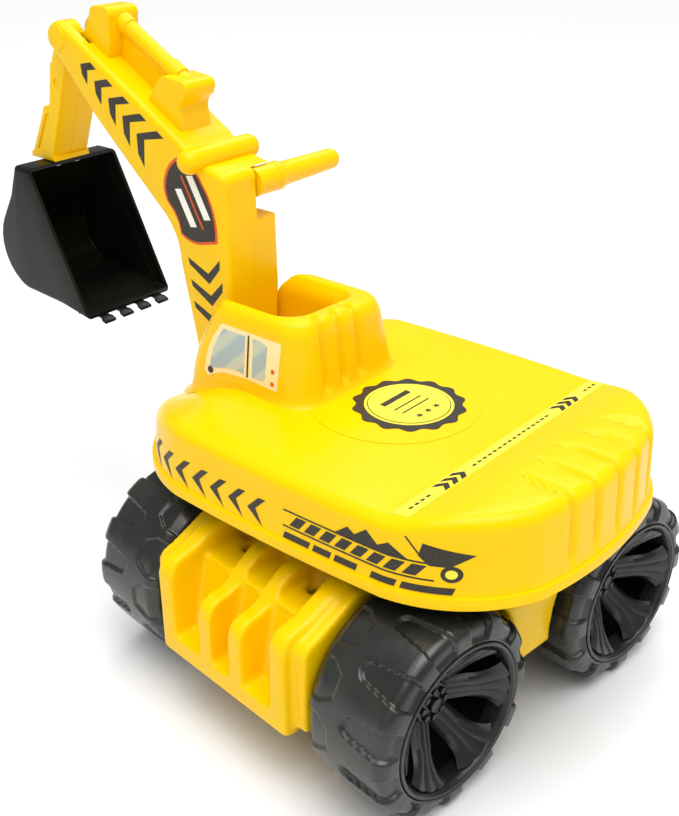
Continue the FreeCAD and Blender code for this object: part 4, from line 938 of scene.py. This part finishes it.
for centre in (-27.0, -9.0, 9.0, 27.0):
    tooth = slab("tooth", [(x, centre + y) for x, y in tab], 193.0, 195.2, "Z")
    round_edges(tooth, lambda a, b: True, 0.5, 2)
    for vertex in tooth.data.vertices:
        vertex.co.z -= max(0.0, 270.0 * MM - vertex.co.x) * 0.35
    parts.append(tooth)
settled(smooth(join(parts, "bucket_scoop"), 35), "dipper", bucket_black, "black_bucket", "bucket")


# ---------------------------------------------------------------- printed foils
# Thin stickers: dark arrows on the boom and the seat's sides, a plain shield at the elbow, a cab
# window, a pale band across the seat and a scalloped seal. None carries any lettering.

FOIL = 0.14
OUTSIDE = 240.0


def foil_print(name, ink, rough=0.32):
    """A printed film: near-even ink with a faint press grain and a slightly dulled gloss."""
    film = Finish(name)
    paler = tuple(min(1.0, value * 1.12 + 0.01) for value in ink[:3]) + (1.0,)
    grain = film.noise(700.0, 2.0).ramp(0.3, 0.7)
    rubbed = film.noise(50.0, 4.0).ramp(0.4, 0.85)
    return film.surface(Base_Color=film.mix(grain, ink, paler), Roughness=rubbed * 0.15 + rough,
                        Normal=film.bump(film.noise(260.0, 1.0), 0.00001), Specular_IOR_Level=0.25)


ink_dark = foil_print("ink_dark", colour(50, 46, 36), 0.4)
ink_red = foil_print("ink_red", colour(222, 82, 20))
ink_cream = foil_print("ink_cream", colour(252, 228, 170))
ink_pale = foil_print("ink_pale", colour(250, 226, 66), 0.4)
ink_white = foil_print("ink_white", colour(250, 246, 232))


def pane_print(name):
    """The printed window pane: grey-blue with slanting lighter streaks, as a pretend reflection."""
    film = Finish(name)
    slant = film.axis(0) + film.axis(2) * 1.1
    streak = ((slant * 230.0).maths("SINE") + film.noise(60.0, 2.0)).ramp(0.2, 1.3)
    return film.surface(Base_Color=film.mix(streak, colour(166, 186, 194), colour(196, 207, 192)),
                        Roughness=film.noise(80.0, 2.0) * 0.1 + 0.26, Specular_IOR_Level=0.3)


ink_pane = pane_print("ink_pane")


def foils(name, outlines, low, material):
    """Sticker shapes cut from film and laid on the boom's flat side."""
    sheets = [slab("foil", points, low, low + FOIL) for points in outlines]
    settled(join(sheets, name), "boom", material)


def crossed(values, unit, step):
    """Cuts the flat sheet in edit mode across at even steps along one direction, so that it can bend."""
    place = math.ceil(min(values) / step) * step + 0.013
    while place < max(values):
        bpy.ops.mesh.select_all(action="SELECT")
        bpy.ops.mesh.bisect(plane_co=unit * place * MM, plane_no=unit)
        place += step


def wrapped_foils(name, outlines, material, onto, side=0, raise_by=0.0, step=4.0):
    """Sticker shapes laid onto a curved piece from its left (side 1), its right (-1) or above (0)."""
    along, level = ("Y", 1) if side else ("Z", 2)
    upright = Vector((0, 0, 1)) if side else Vector((0, 1, 0))
    low = (side or 1) * OUTSIDE
    made = []
    for points in outlines:
        sheet = slab("foil", points, low, low + FOIL, along)
        select_only(sheet)
        bpy.ops.object.mode_set(mode="EDIT")
        mesh = bmesh.from_edit_mesh(sheet.data)
        rest = [face for face in mesh.faces
                if any(abs(vertex.co[level] / MM - low - FOIL) >= 0.01 for vertex in face.verts)]
        bmesh.ops.delete(mesh, geom=rest, context="FACES")
        bmesh.update_edit_mesh(sheet.data)
        crossed([u for u, v in points], Vector((1, 0, 0)), step)
        crossed([v for u, v in points], upright, step)
        bpy.ops.object.mode_set(mode="OBJECT")
        made.append(sheet)
    sheet = join(made, name + {1: "_left", -1: "_right", 0: ""}[side])
    sheet.data.transform(Matrix.Translation((SLEW_X, SLEW_Y, 0)))
    modify(sheet, "SHRINKWRAP", wrap_method="PROJECT", use_project_x=False, use_project_y=along == "Y",
           use_project_z=along == "Z", use_negative_direction=side >= 0, use_positive_direction=side < 0,
           target=onto, offset=(0.1 + raise_by) * MM)
    sheet.data.transform(Matrix.Translation((-SLEW_X, -SLEW_Y, 0)))
    modify(sheet, "SOLIDIFY", thickness=FOIL * MM, offset=1.0)
    settled(smooth(sheet, 40), "upper", material)


def moved(points, dx, dy, scale=1.0):
    return [(x * scale + dx, y * scale + dy) for x, y in points]


def between(first, last, share):
    """An outline part of the way from one to another."""
    return [(a + (c - a) * share, b + (d - b) * share) for (a, b), (c, d) in zip(first, last)]


big_arrow = [(211.4, 343.1), (190.1, 348.1), (183.6, 344.0), (203.9, 340.0), (204.6, 333.0), (205.9, 320.2),
             (211.5, 329.3)]
small_arrow = [(266.3, 383.6), (255.3, 385.9), (249.4, 381.8), (259.3, 380.1), (259.9, 375.4), (260.9, 370.1),
               (265.7, 376.8)]
arm_arrows = [between(big_arrow, small_arrow, k / 4) for k in range(5)]
column_arrow = [(166.7, 263.3), (147.0, 255.6), (134.9, 268.1), (135.3, 261.2), (146.4, 248.1), (165.4, 258.5)]
column_arrows = [moved(column_arrow, -1.6 * k, -16.0 * k) for k in range(3)]
shield = outline((168.3, 334.7), ((178.9, 328.1), (185.7, 317.3)), ((187.0, 308.0), (184.5, 300.5)),
                 (179.4, 295.5), ((174.9, 288.4), (172.3, 278.9)), ((163.2, 275.4), (151.6, 275.6)),
                 (135.9, 279.6), ((137.8, 300.8), (147.9, 319.5)), ((156.0, 328.5), (168.3, 334.7)))[:-1]
middle_x, middle_z = 161.0, 304.0
shield_inside = [(middle_x + (x - middle_x) * 0.91, middle_z + (z - middle_z) * 0.935) for x, z in shield]
foils("arm_arrows_left", arm_arrows + column_arrows, BOOM_HALF, ink_dark)
right_arrows = [moved(points, 4.0, 0.0) for points in column_arrows]
foils("arm_arrows_right", arm_arrows + right_arrows, -BOOM_HALF - FOIL, ink_dark)
foils("shield_edge", [shield], BOOM_HALF, ink_red)
foils("shield_face", [shield_inside], BOOM_HALF + FOIL, ink_dark)
badge_along = cmath.exp(1j * math.radians(61))
badge_marks = []
for across, start, end in ((-8.0, -16.0, 16.0), (8.0, -16.0, 12.0)):
    bar_outline = [(start, across - 3.0), (end, across - 3.0), (end + 2.0, across + 3.0),
                   (start + 2.0, across + 3.0)]
    turned = [complex(158.8, 304.0) + badge_along * complex(u, -v) for u, v in bar_outline]
    badge_marks.append([(point.real, point.imag) for point in turned])
foils("shield_marks", badge_marks, BOOM_HALF + 2 * FOIL, ink_white)
stripe = [(148.5, 287.5), (149.7, 286.8), (168.8, 321.0), (167.6, 321.7)]
foils("shield_stripe", [stripe], BOOM_HALF + 2 * FOIL, ink_red)

side_arrow = [(-9.6, 9.4), (-16.2, 10.0), (-6.9, 0.9), (-13.0, -9.8), (-14.0, -10.8), (0.4, -0.4)]
side_arrows = [moved(side_arrow, 18.5 + 16.9 * k, 165.0, 0.92) for k in range(7)]
bar = [(-16.0, 165.4), (-23.6, 165.4), (-29.0, 172.6), (-21.4, 172.6)]
band = [moved(bar, -11.4 * k, 0.0) for k in range(8)]
band += [[(start, 155.4), (end, 155.4), (end - 1.4, 159.8), (start - 1.4, 159.8)]
         for start, end in ((-11.0, -31.0), (-34.0, -47.0), (-50.0, -66.0), (-76.0, -92.0), (-95.0, -122.0))]
hills = [(-50.0, 174.4), (-59.0, 181.5), (-64.0, 178.4), (-72.0, 184.6), (-80.0, 178.0), (-87.0, 182.0),
         (-99.0, 174.4)]
tray = [(-104.0, 178.5), (-106.0, 186.5), (-131.0, 181.0), (-120.0, 173.0), (-110.0, 173.0)]
shaft = [(-96.0, 189.0), (-97.2, 189.0), (-106.5, 177.6), (-105.3, 177.6)]
band += [hills, tray, shaft, circle(-121.0, 168.6, 5.2, 24)]
edge_lines = [[(-11.0, z), (-113.0, z), (-113.0, z + 1.0), (-11.0, z + 1.0)] for z in (163.2, 173.8)]
for side in (1, -1):
    wrapped_foils("side_arrows", side_arrows, ink_dark, seat, side)
    wrapped_foils("side_band", band, ink_dark, seat, side)
    wrapped_foils("wheel_dot", [circle(-121.0, 168.6, 2.9, 18)], ink_pale, seat, side, 0.15)
    wrapped_foils("band_lines", edge_lines, ink_dark, seat, side)

tape = [(-93.5, -112.0), (-81.5, -112.0), (-81.5, 108.0), (-93.5, 108.0)]
wrapped_foils("seat_band", [tape], ink_pale, seat)
tape_arrow = [(-82.6, 7.4), (-82.6, 2.6), (-87.4, -2.4), (-92.4, 2.6), (-92.4, 7.4), (-87.4, 2.4)]
tape_arrows = [moved(tape_arrow, 0.0, centre + 8.2 * k) for centre in (57.0, -71.0) for k in (-1, 0, 1)]
tick = [(-86.6, 0.0), (-86.6, -3.0), (-88.4, -3.4), (-88.4, -0.4)]
ticks = [moved(tick, 0.0, first - 5.4 * k)
         for first, count in ((38.0, 16), (100.0, 4), (-92.0, 3)) for k in range(count)]
wrapped_foils("band_arrows", tape_arrows, ink_dark, seat, raise_by=0.15)
wrapped_foils("band_ticks", ticks, ink_dark, seat, raise_by=0.15)

SEAL_AT = (-9.0, -2.5)
SCALLOPS = 14


def scalloped(radius, depth, count=168):
    """The seal's edge: a circle that swells and shrinks evenly on its way round."""
    points = []
    for i in range(count):
        angle = 2 * math.pi * i / count
        reach = radius + depth * math.cos(SCALLOPS * angle)
        points.append((SEAL_AT[0] + reach * math.cos(angle), SEAL_AT[1] + reach * math.sin(angle)))
    return points


def star(x, y, radius):
    return [(x + (radius if i % 2 else radius * 0.42) * math.cos(math.radians(36 * i)),
             y + (radius if i % 2 else radius * 0.42) * math.sin(math.radians(36 * i))) for i in range(10)]


wrapped_foils("seal_edge", [scalloped(36.5, 1.6)], ink_dark, seat)
wrapped_foils("seal_face", [circle(*SEAL_AT, 29.6, 168)], ink_pale, seat, raise_by=0.15)
wrapped_foils("seal_line", [circle(*SEAL_AT, 27.6, 168)], ink_dark, seat, raise_by=0.3)
wrapped_foils("seal_middle", [circle(*SEAL_AT, 27.0, 168)], ink_pale, seat, raise_by=0.45)
marks = [star(-15.5, 9.0 * k, 3.0) for k in (-1, 0, 1)]
marks += [[(x, -14.0), (x + thick, -14.0), (x + thick, 14.0), (x, 14.0)]
          for x, thick in ((-6.0, 1.2), (0.5, 1.2), (9.0, 4.5))]
wrapped_foils("seal_marks", [moved(mark, *SEAL_AT) for mark in marks], ink_dark, seat, raise_by=0.6)

window = outline((103.0, 240.5), (53.0, 240.5), ((51.2, 239.8), (50.6, 238.0)), (52.0, 206.5),
                 ((52.4, 204.6), (54.4, 204.0)), (82.0, 205.0), (104.0, 203.0),
                 ((110.0, 200.6), (117.0, 197.0)), ((121.5, 197.2), (122.6, 202.0)),
                 ((117.0, 224.0), (108.5, 238.0)), ((106.0, 240.3), (103.0, 240.5)))[:-1]
front_pane = outline((101.5, 237.0), (83.5, 237.0), (83.8, 208.0), ((98.0, 208.0), (106.0, 206.0)),
                     (117.5, 203.5), ((112.8, 222.5), (105.5, 235.5)), ((103.8, 237.0), (101.5, 237.0)))[:-1]
rear_pane = outline((76.0, 237.0), ((68.0, 237.0), (62.5, 235.0)), (63.5, 214.0),
                    ((64.5, 209.0), (69.5, 208.0)), (76.0, 208.0))
divider = [(79.4, 238.6), (80.8, 238.6), (81.0, 206.6), (79.6, 206.6)]


def on_wall(points):
    """The window as drawn, fitted to the cab's wall."""
    return [(57.0 + (x - 50.6) * 0.965, 196.0 + (z - 197.0) * 0.92) for x, z in points]


window_layers = (("window_frame", [window], ink_cream, 0.0),
                 ("window_panes", [front_pane, rear_pane], ink_pane, 0.2),
                 ("window_bar", [divider, circle(116.8, 201.6, 2.7, 18)], ink_dark, 0.35),
                 ("window_dots", [circle(56.6, z, 1.7, 12) for z in (218.0, 208.6)], ink_red, 0.35))
for side in (1, -1):
    for name, shapes, ink, raise_by in window_layers:
        wrapped_foils(name, [on_wall(points) for points in shapes], ink, cab, side, raise_by, 3.0)


# ---------------------------------------------------------------- small parts as they are
# Turntable rings, pans, pins, screws and the lever's works keep their exact shapes and only
# get a finish: grey or black plastic, yellow plastic, or zinc-plated steel.

def zinc(name):
    """Zinc-plated steel: a soft grey metal with cloudy plating and fine turning marks."""
    metal = Finish(name)
    cloud = metal.noise(120.0, 4.0).ramp(0.3, 0.7)
    shade = metal.mix(cloud, (0.42, 0.43, 0.44, 1), (0.58, 0.59, 0.6, 1))
    marks = metal.noise(900.0, 2.0, (0.2, 1.0, 1.0))
    return metal.surface(Base_Color=shade, Metallic=1.0, Roughness=cloud * 0.14 + 0.3,
                         Normal=metal.bump(marks, 0.00002))


kept = {"steel": zinc("zinc_steel"), "yellow_shell": yellow, "black_wheel": rim_black,
        "black_bucket": bucket_black,
        "black_base": black_plastic("base_black", colour(40, 42, 40), colour(26, 27, 26), 0.42, 0.00005),
        "grey_ring": black_plastic("ring_grey", colour(96, 98, 96), colour(74, 76, 74), 0.4, 0.00004)}
for part in frame["record"]["subparts"]:
    frame["nodes"][part["node"]].data.materials[0] = kept[part["material_slot"]]
